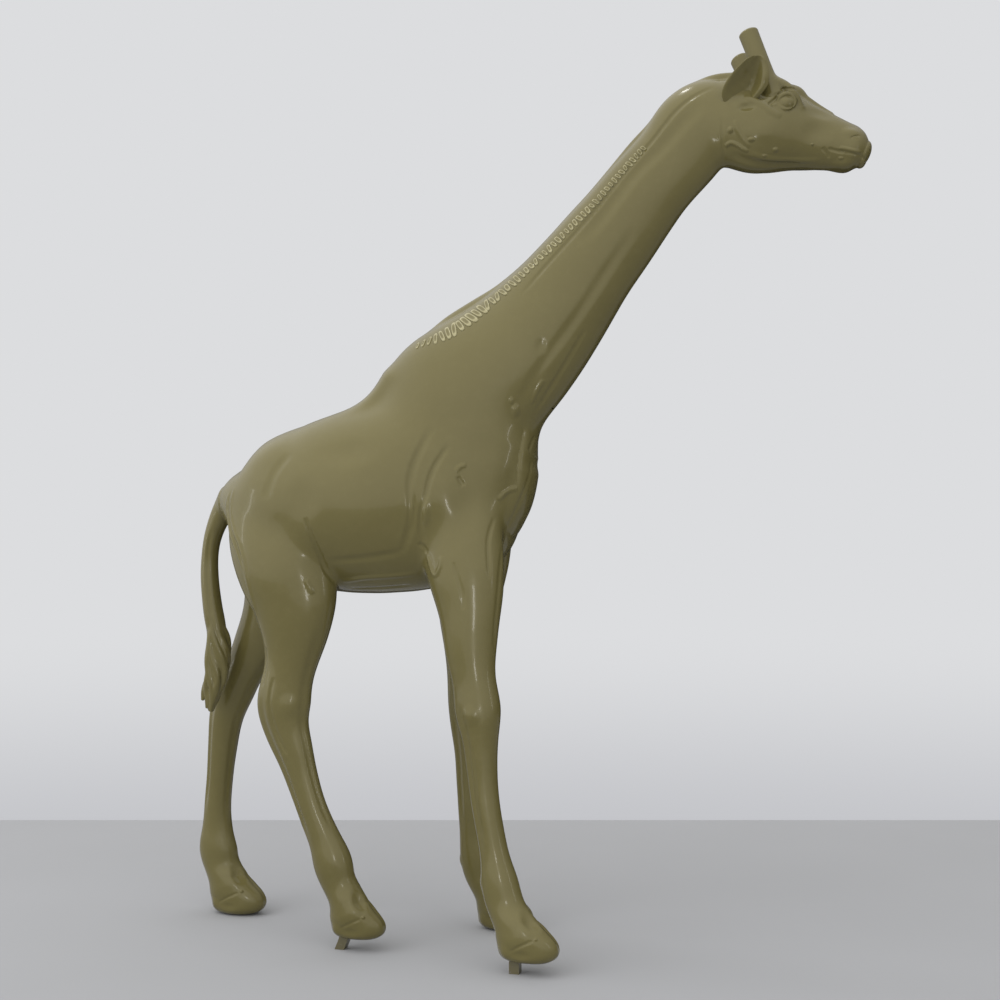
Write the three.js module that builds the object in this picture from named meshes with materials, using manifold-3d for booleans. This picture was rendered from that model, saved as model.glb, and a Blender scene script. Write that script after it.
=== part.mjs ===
// Walking giraffe statue, 2.4 m tall: a lacquered glass-fibre skin in bonded mouldings,
// hung on a welded steel frame that ends in a sole plate in each hoof and two floor lugs.
// Millimetres. +X towards the nose, +Y to the animal's left, +Z up, z = 0 is the floor.
import * as THREE from "three";
import { mergeVertices } from "three/addons/utils/BufferGeometryUtils.js";
import Module from "manifold-3d";

// ---------------------------------------------------------------- driving dimensions
const WALL = 5; // laminate thickness
const GAP = 0.3; // clearance left at every bonded joint
const LUG_DROP = 30; // the right soles stand this far above the floor, on their lugs
const LEG_JOINT_Z = 905; // top edge of the four leg mouldings
const BETWEEN_LEGS_X = -250; // any plane between the front and the hind legs
const NECK_JOINT = { at: [2, 0, 1570], along: [0.66, 0, 0.75] };
const HEAD_JOINT = { at: [547, 0, 2150], along: [0.9, 0, 0.43] };
const HEAD = { pivot: [582, 0, 2150], yaw: 10, roll: -6 }; // degrees, turned to its left
const TUBE = { leg: 11, spine: 16, neck: 14, wall: 2.5 }; // outer radii of the steel tubes
// A leg tube stands footRise of its radius over its plate, follows the leg's stations except
// those nearer than skipFoot and skipTop to its ends, and leans in at the top by topShare.
const LEG_TUBE = { footRise: 0.7, skipFoot: 40, skipTop: 60, topShare: 0.86, steps: 12 };
const SPINE_X = [-680, -110]; // the spine tube lies on both crossbars
const NECK_TUBE = { footX: -90, overSpine: 40, bend: [-72, 0, 1380], top: [616, 4, 2178], steps: 11 };
const CROSSBAR = { length: 190, width: 50, height: 24, z: 1150 }; // z of its underside
const PLATE = { length: 76, width: 36, thick: 8, above: 8, setBack: 9 }; // above the sole
const LUG = { side: 26, frontX: 87, hindX: -404, hindLean: -12 };
// The steel rod in the tail runs through the rump, down the tail and into its tuft.
const TAIL_ROD = { r: 4, root: [-764, 0, 1234], foot: [-866, 20, 760], steps: 16 };
// dome is the height of the rounded top and flare the spread of the foot, both in radii.
const OSSICONE = { r: 23, foot: [722, 48, 2235], top: [664, 62, 2408], dome: 0.35, flare: 1.04 };
const SIDES = { torso: 20, neck: 18, head: 16, leg: 12, hoof: 14, tail: 12, horn: 16 };
const TAIL_STEPS = 2; // rings between two stations of the tail
const TUBE_FACETS = 5; // how finely a tube's circles are divided
const DOME_STEPS = 4; // segments from a horn's side to its top

// A limb is a list of stations along its middle line: [x, y, z, half depth, half width].
// Depth is measured in the fore-and-aft plane and width across the animal.
const TORSO = [
  [-836, 0, 1212, 40, 40],
  [-808, 0, 1209, 78, 76],
  [-758, 0, 1203, 124, 112],
  [-680, 0, 1200, 189, 158],
  [-573, 0, 1192, 230, 186],
  [-464, 0, 1189, 246, 197],
  [-356, 0, 1206, 264, 196],
  [-248, 0, 1252, 300, 186],
  [-128, 0, 1272, 280, 164],
  [-22, 0, 1284, 216, 130],
  [44, 0, 1290, 144, 92],
  [80, 0, 1294, 66, 48],
];
const NECK = [
  [-178, 0, 1316, 226, 150],
  [-108, 0, 1466, 244, 146],
  [-36, 0, 1539, 209, 132],
  [41, 0, 1602, 183, 116],
  [150, 0, 1718, 156, 97],
  [241, 0, 1829, 137, 84],
  [328, 0, 1932, 124, 76],
  [415, 0, 2037, 115, 70],
  [496, 0, 2124, 117, 70],
  [556, 0, 2192, 120, 70],
  [618, 0, 2212, 94, 60],
];
// In the head's own straight-ahead position; turnHead() then turns it.
const SKULL = [
  [556, 0, 2212, 72, 52],
  [588, 0, 2202, 112, 70],
  [642, 0, 2184, 129, 84],
  [700, 0, 2173, 129, 88],
  [754, 0, 2172, 122, 84],
  [808, 0, 2150, 99, 68],
  [872, 0, 2124, 76, 56],
  [926, 0, 2108, 64, 52],
  [956, 0, 2091, 50, 46],
  [970, 0, 2081, 30, 30],
];
const LEGS = {
  front_leg_right: [
    [-88, -62, 1260, 116, 60],
    [-84, -96, 1100, 120, 70],
    [-63, -112, 960, 100, 63],
    [-53, -122, 870, 80, 53],
    [-50, -127, 810, 70, 47],
    [-37, -134, 720, 60, 42],
    [-26, -140, 640, 60, 42],
    [-19, -145, 569, 49, 37],
    [-13, -149, 505, 40, 33],
    [-4, -156, 430, 36, 30],
    [14, -163, 340, 35, 30],
    [28, -169, 275, 37, 31],
    [40, -173, 222, 46, 37],
    [53, -177, 172, 47, 38],
    [74, -181, 130, 44, 38],
    [92, -184, 100, 44, 38],
  ],
  front_leg_left: [
    [-98, 62, 1260, 116, 60],
    [-108, 96, 1100, 118, 70],
    [-128, 108, 960, 98, 63],
    [-137, 115, 850, 76, 51],
    [-138, 121, 756, 61, 44],
    [-140, 129, 655, 59, 43],
    [-138, 134, 590, 54, 40],
    [-136, 140, 520, 46, 36],
    [-136, 147, 440, 40, 32],
    [-135, 155, 350, 40, 31],
    [-130, 162, 265, 41, 31],
    [-120, 169, 195, 48, 37],
    [-108, 174, 150, 50, 39],
    [-88, 179, 108, 46, 38],
    [-72, 183, 84, 44, 38],
  ],
  hind_leg_right: [
    [-650, -56, 1240, 140, 66],
    [-640, -94, 1090, 146, 82],
    [-575, -104, 955, 135, 77],
    [-562, -110, 859, 107, 64],
    [-566, -112, 790, 87, 55],
    [-577, -114, 722, 74, 47],
    [-592, -115, 645, 78, 45],
    [-584, -115, 582, 66, 41],
    [-565, -115, 525, 54, 37],
    [-535, -115, 439, 43, 33],
    [-492, -115, 334, 42, 32],
    [-467, -115, 282, 46, 34],
    [-441, -115, 222, 55, 40],
    [-420, -115, 178, 48, 38],
    [-400, -115, 135, 46, 38],
    [-388, -115, 105, 46, 38],
  ],
  hind_leg_left: [
    [-655, 56, 1240, 140, 66],
    [-668, 90, 1090, 146, 82],
    [-697, 102, 975, 124, 76],
    [-733, 107, 880, 98, 62],
    [-783, 112, 786, 80, 53],
    [-826, 115, 715, 70, 47],
    [-861, 117, 655, 67, 45],
    [-886, 118, 590, 58, 41],
    [-899, 120, 515, 49, 37],
    [-909, 123, 425, 45, 33],
    [-918, 126, 320, 43, 32],
    [-919, 129, 240, 48, 34],
    [-916, 131, 178, 57, 40],
    [-900, 133, 132, 52, 39],
    [-878, 134, 92, 52, 38],
  ],
};
// Each hoof is a stack of level sections from the coronet down: [x, height over its sole,
// half length, half width], all round the middle line y.
const HOOF_SECTIONS = [
  [-28, 106, 48, 38],
  [-16, 86, 62, 41],
  [-4, 60, 78, 45],
  [0, 36, 84, 46],
  [0, 14, 82, 45],
  [-2, 4, 70, 39],
  [-3, 0, 60, 34],
];
const HOOVES = {
  front_leg_right: { x: 122, y: -189, sole: LUG_DROP, scale: 0.96 },
  front_leg_left: { x: -46, y: 187, sole: 0, scale: 1 },
  hind_leg_right: { x: -366, y: -115, sole: LUG_DROP, scale: 0.94 },
  hind_leg_left: { x: -850, y: 135, sole: 0, scale: 1.06 },
};
const TAIL = [
  [-792, 0, 1232, 29, 25],
  [-828, 2, 1219, 25, 22],
  [-862, 6, 1170, 22, 20],
  [-887, 12, 1096, 21, 19],
  [-892, 16, 1010, 22, 20],
  [-885, 18, 925, 25, 23],
  [-873, 20, 860, 27, 25],
  [-868, 20, 820, 20, 20],
];
const TUFT = [
  [-868, 20, 818, 26, 24],
  [-864, 20, 780, 38, 30],
  [-864, 20, 725, 40, 32],
  [-874, 20, 670, 34, 28],
  [-884, 20, 625, 20, 18],
  [-888, 20, 600, 7, 7],
];
// The ear is a cupped leaf: [height up its blade, half width, depth of the cup].
const EAR_SECTIONS = [
  [0, 17, 11],
  [26, 33, 18],
  [56, 36, 18],
  [86, 25, 12],
  [112, 8, 5],
];
const EAR = { root: [640, 74, 2200], leanOut: 24, leanBack: -14, turn: 20, wall: 6, across: 7 };

// ---------------------------------------------------------------- materials
const lacquer = new THREE.MeshStandardMaterial({ color: 0x77704a, roughness: 0.12, metalness: 0 });
const steel = new THREE.MeshStandardMaterial({ color: 0x8a8d90, roughness: 0.45, metalness: 1 });
const paintedSteel = new THREE.MeshStandardMaterial({
  color: 0x5e5733,
  roughness: 0.25,
  metalness: 0,
});

// ---------------------------------------------------------------- geometry helpers
const ACROSS = new THREE.Vector3(0, 1, 0);

// Closes a stack of equally long rings of points into one surface with flat ends.
function stackGeometry(rings) {
  const sides = rings[0].length;
  const middle = (ring) =>
    ring.reduce((sum, p) => sum.add(p), new THREE.Vector3()).divideScalar(sides);
  const points = [...rings.flat(), middle(rings[0]), middle(rings.at(-1))];
  const foot = points.length - 2;
  const top = foot + 1;
  const lastRing = (rings.length - 1) * sides;
  const index = [];
  for (let k = 0; k < sides; k++) {
    const next = (k + 1) % sides;
    for (let base = 0; base < lastRing; base += sides) {
      index.push(base + k, base + next, base + sides + next);
      index.push(base + k, base + sides + next, base + sides + k);
    }
    index.push(foot, next, k, top, lastRing + k, lastRing + next);
  }
  return new THREE.BufferGeometry().setFromPoints(points).setIndex(index);
}

// A tapering limb with an elliptical section, on a smooth curve through its stations.
// inset moves the surface and both ends inwards: the same stations give skin and hollow.
function limbGeometry(stations, sides, inset = 0, stepsPerStation = 1) {
  const line = new THREE.CatmullRomCurve3(
    stations.map(([x, y, z]) => new THREE.Vector3(x, y, z)),
    false,
    "catmullrom",
  );
  const sizes = new THREE.CatmullRomCurve3(
    stations.map(([, , , depth, width]) => new THREE.Vector3(depth, width, 0)),
    false,
    "catmullrom",
  );
  const steps = (stations.length - 1) * stepsPerStation;
  const rings = Array.from({ length: steps + 1 }, (_, i) => {
    const size = sizes.getPoint(i / steps);
    const along = line.getTangent(i / steps);
    const endShift = i === 0 ? inset : i === steps ? -inset : 0;
    const centre = line.getPoint(i / steps).addScaledVector(along, endShift);
    const side = ACROSS.clone().addScaledVector(along, -ACROSS.dot(along)).normalize();
    const fore = new THREE.Vector3().crossVectors(side, along);
    return Array.from({ length: sides }, (_, k) => {
      const angle = (2 * Math.PI * k) / sides;
      return centre
        .clone()
        .addScaledVector(fore, (size.x - inset) * Math.cos(angle))
        .addScaledVector(side, (size.y - inset) * Math.sin(angle));
    });
  });
  return stackGeometry(rings);
}

// A hoof, built upwards from its sole. inset shrinks it and lifts its floor by the same.
function hoofGeometry({ x, y, sole, scale }, inset = 0) {
  const sides = SIDES.hoof;
  const rings = [...HOOF_SECTIONS].reverse().map(([dx, height, length, width]) =>
    Array.from({ length: sides }, (_, k) => {
      const angle = (2 * Math.PI * k) / sides;
      return new THREE.Vector3(
        x + scale * dx + (scale * length - inset) * Math.cos(angle),
        y + (scale * width - inset) * Math.sin(angle),
        sole + scale * height + Math.max(inset, 0),
      );
    }),
  );
  return stackGeometry(rings);
}

// A round steel tube along a curve, open at both ends.
function tubeGeometry(points, radius, wall, steps) {
  const ring = new THREE.Shape().absarc(0, 0, radius, 0, 2 * Math.PI);
  if (wall) ring.holes.push(new THREE.Path().absarc(0, 0, radius - wall, 0, 2 * Math.PI));
  const extrudePath = new THREE.CatmullRomCurve3(points.map((p) => new THREE.Vector3(...p)));
  return new THREE.ExtrudeGeometry(ring, { steps, curveSegments: TUBE_FACETS, extrudePath });
}

// Turns a shape from the straight-ahead head position to the head's real one.
const headTurn = new THREE.Matrix4()
  .makeTranslation(...HEAD.pivot)
  .multiply(new THREE.Matrix4().makeRotationZ(THREE.MathUtils.degToRad(HEAD.yaw)))
  .multiply(new THREE.Matrix4().makeRotationX(THREE.MathUtils.degToRad(HEAD.roll)))
  .multiply(new THREE.Matrix4().makeTranslation(...HEAD.pivot.map((v) => -v)));

function turnHead(geometry) {
  return geometry.applyMatrix4(headTurn);
}

// ---------------------------------------------------------------- solids
const wasm = await Module();
wasm.setup();

function solidOf(geometry) {
  const plain = geometry.index ? geometry : mergeVertices(geometry.deleteAttribute("uv"));
  const bare = new THREE.BufferGeometry().setAttribute("position", plain.getAttribute("position"));
  const merged = mergeVertices(bare.setIndex(plain.index));
  const vertProperties = merged.getAttribute("position").array;
  const triVerts = new Uint32Array(merged.index.array);
  return new wasm.Manifold(new wasm.Mesh({ numProp: 3, vertProperties, triVerts }));
}

function geometryOf(solid) {
  const mesh = solid.getMesh();
  const geometry = new THREE.BufferGeometry();
  geometry.setAttribute("position", new THREE.BufferAttribute(mesh.vertProperties, 3));
  return geometry.setIndex(new THREE.BufferAttribute(mesh.triVerts, 1));
}

function boxSolid(size, centre) {
  return solidOf(new THREE.BoxGeometry(...size).translate(...centre));
}

const joined = (solids) => solids.reduce((sum, s) => sum.add(s));

// The part of a solid beyond a joint plane, or before it, held back by half the gap.
function cutAt(solid, { at, along }, keepBeyond) {
  const normal = new THREE.Vector3(...along).normalize();
  const offset = normal.dot(new THREE.Vector3(...at));
  const sign = keepBeyond ? 1 : -1;
  const facing = normal.clone().multiplyScalar(sign).toArray();
  return solid.trimByPlane(facing, sign * offset + GAP / 2);
}

// ---------------------------------------------------------------- the skin
// The whole animal's outer form, or with an inset the hollow inside it.
function animal(inset) {
  const legs = Object.entries(LEGS).map(([name, stations]) =>
    solidOf(limbGeometry(stations, SIDES.leg, inset)).add(solidOf(hoofGeometry(HOOVES[name], inset))),
  );
  return joined([
    solidOf(limbGeometry(TORSO, SIDES.torso, inset)),
    solidOf(limbGeometry(NECK, SIDES.neck, inset)),
    solidOf(turnHead(limbGeometry(SKULL, SIDES.head, inset))),
    ...legs,
  ]);
}

const skin = animal(0).subtract(animal(WALL));
const grown = animal(-GAP); // what the pieces that are bonded on top are cut by

const tailLine = TAIL.map(([x, y, z]) => [x, y, z]);
const rodLine = [TAIL_ROD.root, ...tailLine.slice(1, -1), TAIL_ROD.foot];
const rodBore = solidOf(tubeGeometry(rodLine, TAIL_ROD.r + GAP, 0, TAIL_ROD.steps));

const legJoint = { at: [0, 0, LEG_JOINT_Z], along: [0, 0, 1] };
const median = { at: [0, 0, 0], along: [0, 1, 0] };
const headMedian = {
  at: HEAD.pivot,
  along: new THREE.Vector3(0, 1, 0).transformDirection(headTurn).toArray(),
};
const betweenLegs = { at: [BETWEEN_LEGS_X, 0, 0], along: [1, 0, 0] };

const aboveLegs = cutAt(skin, legJoint, true);
const torso = cutAt(aboveLegs, NECK_JOINT, false).subtract(rodBore);
const beyondTorso = cutAt(aboveLegs, NECK_JOINT, true);
const neck = cutAt(beyondTorso, HEAD_JOINT, false);
const head = cutAt(beyondTorso, HEAD_JOINT, true);
const legs = cutAt(skin, legJoint, false);

const statue = new THREE.Group();

function addPiece(name, geometry, material) {
  const mesh = new THREE.Mesh(geometry, material);
  mesh.name = name;
  statue.add(mesh);
}

for (const [name, whole, plane] of [
  ["torso_shell", torso, median],
  ["neck_shell", neck, median],
  ["head_shell", head, headMedian],
]) {
  addPiece(name + "_left", geometryOf(cutAt(whole, plane, true)), lacquer);
  addPiece(name + "_right", geometryOf(cutAt(whole, plane, false)), lacquer);
}

// ---------------------------------------------------------------- lugs and leg shells
function lugSolid(x, y, top, lean, grow = 0) {
  const half = LUG.side / 2 + grow;
  const corners = [
    [-half, -half],
    [half, -half],
    [half, half],
    [-half, half],
  ];
  const level = (z, shift) =>
    corners.map(([dx, dy]) => new THREE.Vector3(x + shift + dx, y + dy, z));
  return solidOf(stackGeometry([level(0, lean), level(LUG_DROP, 0), level(top, 0)]));
}

const lugs = {
  front_leg_right: { name: "front_floor_lug", x: LUG.frontX, lean: 0 },
  hind_leg_right: { name: "hind_floor_lug", x: LUG.hindX, lean: LUG.hindLean },
};

for (const [name, hoof] of Object.entries(HOOVES)) {
  const lug = lugs[name];
  const ofPair = cutAt(legs, betweenLegs, name.startsWith("front"));
  let leg = cutAt(ofPair, median, name.endsWith("left"));
  const plateZ = hoof.sole + PLATE.above;
  if (lug) {
    const top = plateZ - GAP;
    addPiece(lug.name, geometryOf(lugSolid(lug.x, hoof.y, top, lug.lean)), paintedSteel);
    leg = leg.subtract(lugSolid(lug.x, hoof.y, top + GAP, lug.lean, GAP));
  }
  addPiece(name.replace("leg", "leg_shell"), geometryOf(leg), lacquer);

  // Inside the hoof, a plate on the sole; on it, the tube that carries the leg.
  const plate = new THREE.BoxGeometry(PLATE.length, PLATE.width, PLATE.thick);
  const plateX = hoof.x - PLATE.setBack;
  plate.translate(plateX, hoof.y, plateZ + PLATE.thick / 2);
  addPiece(name.replace("leg", "sole_plate"), plate, steel);

  const foot = plateZ + PLATE.thick + GAP + TUBE.leg * LEG_TUBE.footRise;
  const [low, high] = [foot + LEG_TUBE.skipFoot, CROSSBAR.z - LEG_TUBE.skipTop];
  const middle = LEGS[name].filter(([, , z]) => z > low && z < high);
  const [topX, topY] = LEGS[name][1];
  const points = [
    [topX, topY * LEG_TUBE.topShare, CROSSBAR.z - GAP],
    ...middle.slice(1).map(([x, y, z]) => [x, y, z]),
    [plateX - PLATE.setBack, hoof.y, foot],
  ];
  const tube = solidOf(tubeGeometry(points, TUBE.leg, TUBE.wall, LEG_TUBE.steps));
  const trimmed = tube
    .trimByPlane([0, 0, 1], plateZ + PLATE.thick + GAP)
    .trimByPlane([0, 0, -1], -(CROSSBAR.z - GAP));
  addPiece(name.replace("leg", "leg_tube"), geometryOf(trimmed), steel);
}

// ---------------------------------------------------------------- the frame in the body
const crossbarTop = CROSSBAR.z + CROSSBAR.height;
const spineZ = crossbarTop + GAP + TUBE.spine;
for (const [name, first, second] of [
  ["shoulder_crossbar", "front_leg_right", "front_leg_left"],
  ["hip_crossbar", "hind_leg_right", "hind_leg_left"],
]) {
  const x = (LEGS[first][1][0] + LEGS[second][1][0]) / 2;
  const bar = new THREE.BoxGeometry(CROSSBAR.width, CROSSBAR.length, CROSSBAR.height);
  bar.translate(x, 0, CROSSBAR.z + CROSSBAR.height / 2);
  addPiece(name, bar, steel);
}
addPiece(
  "spine_tube",
  tubeGeometry([[SPINE_X[0], 0, spineZ], [SPINE_X[1], 0, spineZ]], TUBE.spine, TUBE.wall, 1),
  steel,
);
// The neck tube stands on the spine tube's front end and follows the neck into the head.
const neckLine = NECK.slice(2, -1).map(([x, y, z]) => [x, y, z]);
addPiece(
  "neck_tube",
  tubeGeometry(
    [[NECK_TUBE.footX, 0, spineZ + NECK_TUBE.overSpine], NECK_TUBE.bend, ...neckLine, NECK_TUBE.top],
    TUBE.neck,
    TUBE.wall,
    NECK_TUBE.steps,
  ),
  steel,
);

// ---------------------------------------------------------------- tail
const rod = solidOf(tubeGeometry(rodLine, TAIL_ROD.r, 0, TAIL_ROD.steps));
const bareTail = solidOf(limbGeometry(TAIL, SIDES.tail, 0, TAIL_STEPS)).subtract(grown);
const tuftSolid = solidOf(limbGeometry(TUFT, SIDES.tail, 0, TAIL_STEPS));
const tuftGrown = solidOf(limbGeometry(TUFT, SIDES.tail, -GAP, TAIL_STEPS));
addPiece("tail", geometryOf(bareTail.subtract(tuftGrown).subtract(rodBore)), lacquer);
addPiece("tail_tuft", geometryOf(tuftSolid.subtract(rodBore)), lacquer);
addPiece("tail_rod", geometryOf(rod.trimByPlane([0, 0, 1], TAIL_ROD.foot[2] + GAP)), steel);

// ---------------------------------------------------------------- ossicones and ears
// A straight horn with a domed top, turned on a lathe and stood along its own axis.
function ossiconeGeometry(side) {
  const foot = new THREE.Vector3(...OSSICONE.foot).multiply(new THREE.Vector3(1, side, 1));
  const top = new THREE.Vector3(...OSSICONE.top).multiply(new THREE.Vector3(1, side, 1));
  const height = foot.distanceTo(top);
  const dome = OSSICONE.r * OSSICONE.dome;
  const arc = Array.from({ length: DOME_STEPS + 1 }, (_, i) => {
    const angle = (Math.PI / 2) * (i / DOME_STEPS);
    return new THREE.Vector2(
      OSSICONE.r - dome + dome * Math.cos(angle),
      height - dome + dome * Math.sin(angle),
    );
  });
  const profile = [
    new THREE.Vector2(0, 0),
    new THREE.Vector2(OSSICONE.r * OSSICONE.flare, 0),
    ...arc,
    new THREE.Vector2(0, height),
  ];
  const horn = new THREE.LatheGeometry(profile, SIDES.horn);
  const up = new THREE.Vector3(0, 1, 0);
  const stand = new THREE.Quaternion().setFromUnitVectors(up, top.sub(foot).normalize());
  return turnHead(horn.applyQuaternion(stand).translate(...foot));
}

// A leaf hollowed on one face: crescent sections stacked up the blade.
function earGeometry(side) {
  const across = EAR.across;
  const rings = EAR_SECTIONS.map(([height, halfWidth, cup]) => {
    const arcAt = (k, lift) => {
      const share = (2 * k) / (across - 1) - 1;
      const bow = cup * (1 - share * share);
      return new THREE.Vector3(halfWidth * share, lift * EAR.wall - bow, height);
    };
    const back = Array.from({ length: across }, (_, k) => arcAt(k, -0.5));
    const front = Array.from({ length: across }, (_, k) => arcAt(across - 1 - k, 0.5));
    return [...back, ...front];
  });
  const degrees = THREE.MathUtils.degToRad;
  const ear = stackGeometry(rings)
    .rotateZ(degrees(180 - EAR.turn))
    .rotateY(degrees(-EAR.leanBack))
    .rotateX(degrees(-EAR.leanOut));
  ear.translate(...EAR.root);
  if (side < 0) {
    ear.scale(1, -1, 1);
    const order = ear.index.array;
    for (let i = 0; i < order.length; i += 3) {
      [order[i + 1], order[i + 2]] = [order[i + 2], order[i + 1]];
    }
  }
  return turnHead(ear);
}

for (const [word, side] of [
  ["left", 1],
  ["right", -1],
]) {
  const horn = solidOf(ossiconeGeometry(side)).subtract(grown);
  addPiece("ossicone_" + word, geometryOf(horn), lacquer);
  const ear = solidOf(earGeometry(side)).subtract(grown);
  addPiece("ear_" + word, geometryOf(ear), lacquer);
}

export default statue;
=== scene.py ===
# %% [markdown]
# # A walking giraffe in lacquered glass fibre
# The real figure is a set of hollow glass-fibre mouldings, bonded together over a steel frame,
# filled, sanded and sprayed in one colour of gloss lacquer. Everything that catches the eye is
# one long smooth skin, so the lesson is mostly about making a skin with no kinks in it, and about
# cutting that one skin into the mouldings it is really made of.

# %% Load the frame
import math

import bpy
import numpy as np
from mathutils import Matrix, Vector


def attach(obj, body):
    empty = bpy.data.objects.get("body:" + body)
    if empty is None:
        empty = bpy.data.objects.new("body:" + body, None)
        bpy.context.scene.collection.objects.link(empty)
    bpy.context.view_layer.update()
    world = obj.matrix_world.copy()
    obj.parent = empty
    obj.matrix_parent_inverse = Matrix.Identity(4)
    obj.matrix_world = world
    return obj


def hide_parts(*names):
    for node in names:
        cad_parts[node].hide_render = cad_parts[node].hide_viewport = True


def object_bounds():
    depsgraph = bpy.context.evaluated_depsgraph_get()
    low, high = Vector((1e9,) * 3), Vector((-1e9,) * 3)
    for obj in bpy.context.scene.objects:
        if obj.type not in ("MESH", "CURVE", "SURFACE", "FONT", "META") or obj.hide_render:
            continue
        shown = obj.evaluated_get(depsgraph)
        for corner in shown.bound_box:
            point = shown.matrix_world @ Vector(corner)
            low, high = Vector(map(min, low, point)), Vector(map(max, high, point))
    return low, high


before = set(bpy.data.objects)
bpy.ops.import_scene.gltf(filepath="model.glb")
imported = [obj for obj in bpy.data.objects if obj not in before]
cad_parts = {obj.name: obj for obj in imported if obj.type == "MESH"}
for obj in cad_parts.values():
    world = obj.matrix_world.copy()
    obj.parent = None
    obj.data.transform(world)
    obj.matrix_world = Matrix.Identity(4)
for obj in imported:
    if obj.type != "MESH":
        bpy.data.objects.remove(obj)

cad_box = [list(corner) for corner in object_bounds()]
STATUE_HEIGHT = 2418.0  # millimetres, floor to horn tip
MM = (cad_box[1][2] - cad_box[0][2]) / STATUE_HEIGHT  # metres in one millimetre of the tables
COARSE = 1.0
print("nodes in the frame:", len(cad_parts), "  one table millimetre is", round(MM, 6), "m")

# %% [markdown]
# ## Curves that stay smooth twice over
# A gloss surface mirrors the room, so the eye sees its slope, and a jump in bend shows as a kink
# in a highlight. Catmull-Rom curves jump in bend at every point. A natural cubic doesn't, which is
# why every limb, groove and ridge below is carried along one.


# %% A natural cubic curve
LEAST_TURN = 0.3  # keeps a Newton step short where the curve bends round the point


class Spline:
    """A smooth curve through rows of numbers, measured by distance travelled along it.

    Between two knots the value is a straight mix of their rows plus a cubic that holds the bend.
    The bends come from one set of linear equations that makes the slopes agree at every knot."""

    def __init__(self, rows, spacing=14.0):
        self.rows = np.asarray(rows, float)
        steps = np.linalg.norm(np.diff(self.rows[:, :3], axis=0), axis=1)
        self.knots = np.concatenate([[0.0], np.cumsum(steps)])
        self.length = self.knots[-1]
        inner = np.arange(1, len(self.knots) - 1)
        system = np.eye(len(self.knots))
        system[inner, inner - 1] = steps[:-1]
        system[inner, inner] = 2 * (steps[:-1] + steps[1:])
        system[inner, inner + 1] = steps[1:]
        pull = np.zeros_like(self.rows)
        pull[1:-1] = 6 * np.diff(np.diff(self.rows, axis=0) / steps[:, None], axis=0)
        self.bends = np.linalg.solve(system, pull)
        self.marks = np.linspace(0, self.length, max(4, int(self.length / spacing)))
        self.samples = self.at(self.marks)[0][:, :3]

    def at(self, travel):
        """Value, slope and bend at each distance travelled."""
        low = np.clip(np.searchsorted(self.knots, travel) - 1, 0, len(self.knots) - 2)
        gap = (self.knots[low + 1] - self.knots[low])[:, None]
        b = (travel - self.knots[low])[:, None] / gap
        a = 1 - b
        first, last = self.rows[low], self.rows[low + 1]
        bend_a, bend_b = self.bends[low], self.bends[low + 1]
        value = a * first + b * last + ((a**3 - a) * bend_a + (b**3 - b) * bend_b) * gap**2 / 6
        lead = (last - first) / gap
        lead += ((1 - 3 * a**2) * bend_a + (3 * b**2 - 1) * bend_b) * gap / 6
        return value, lead, a * bend_a + b * bend_b

    def nearest(self, points):
        """Where the curve comes closest to each point: the closest of a row of samples, then two
        Newton steps that bring the line of sight square to the curve."""
        squares = (self.samples**2).sum(1) - 2 * points @ self.samples.T
        travel = self.marks[np.argmin(squares, axis=1)]
        for _ in range(2):
            value, lead, bend = self.at(travel)
            away = points - value[:, :3]
            lean = (away * lead[:, :3]).sum(1)
            turn = (lead[:, :3] ** 2).sum(1) - (away * bend[:, :3]).sum(1)
            travel = np.clip(travel + lean / np.maximum(turn, LEAST_TURN), 0, self.length)
        return travel


test = Spline([[0, 0, 0], [100, 0, 0], [200, 100, 0]])
print("a test curve travels", round(test.length), "mm")
print("its middle is", test.at(np.array([120.0]))[0].round(1))

# %% [markdown]
# ## A body as a distance
# An animal's limbs flow into each other, and no grid of faces follows such a join well. So the
# skin is described by one function instead: the distance from any point to the surface, negative
# inside. Limbs are joined by a soft minimum that leaves a fillet, and muscles and creases are
# added to the distance like clay. The faces are found from the function afterwards.


# %% Limbs, fillets and clay
ACROSS = np.array([0.0, 1.0, 0.0])
FAR = 900.0  # millimetres: what a limb says to a point outside its box


def unit(rows):
    """Each row at a length of one."""
    return rows / np.maximum(np.linalg.norm(rows, axis=1), 1e-9)[:, None]


def ellipsoid(u, v, w, a, b, c):
    """Distance to an ellipsoid of half axes a, b, c: how far out the point is in units of the
    surface, times one less than that, over the steepness of that measure."""
    reach = np.sqrt((u / a) ** 2 + (v / b) ** 2 + (w / c) ** 2)
    steep = np.sqrt((u / a**2) ** 2 + (v / b**2) ** 2 + (w / c**2) ** 2)
    return reach * (reach - 1) / np.maximum(steep, 1e-9)


def window(share, low, high, soft=0.08):
    """1 between two shares of a length, easing to 0 outside them as a smooth step."""
    rise = np.clip((share - low) / soft, 0, 1)
    fall = np.clip((high - share) / soft, 0, 1)
    return (rise**2 * (3 - 2 * rise)) * (fall**2 * (3 - 2 * fall))


def melt(a, b, reach):
    """Soft minimum: the smaller of two distances, less a cubic fillet where they are close."""
    near = np.clip(1 - np.abs(a - b) / reach, 0, None)
    return np.minimum(a, b) - near**3 * reach / 6


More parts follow.
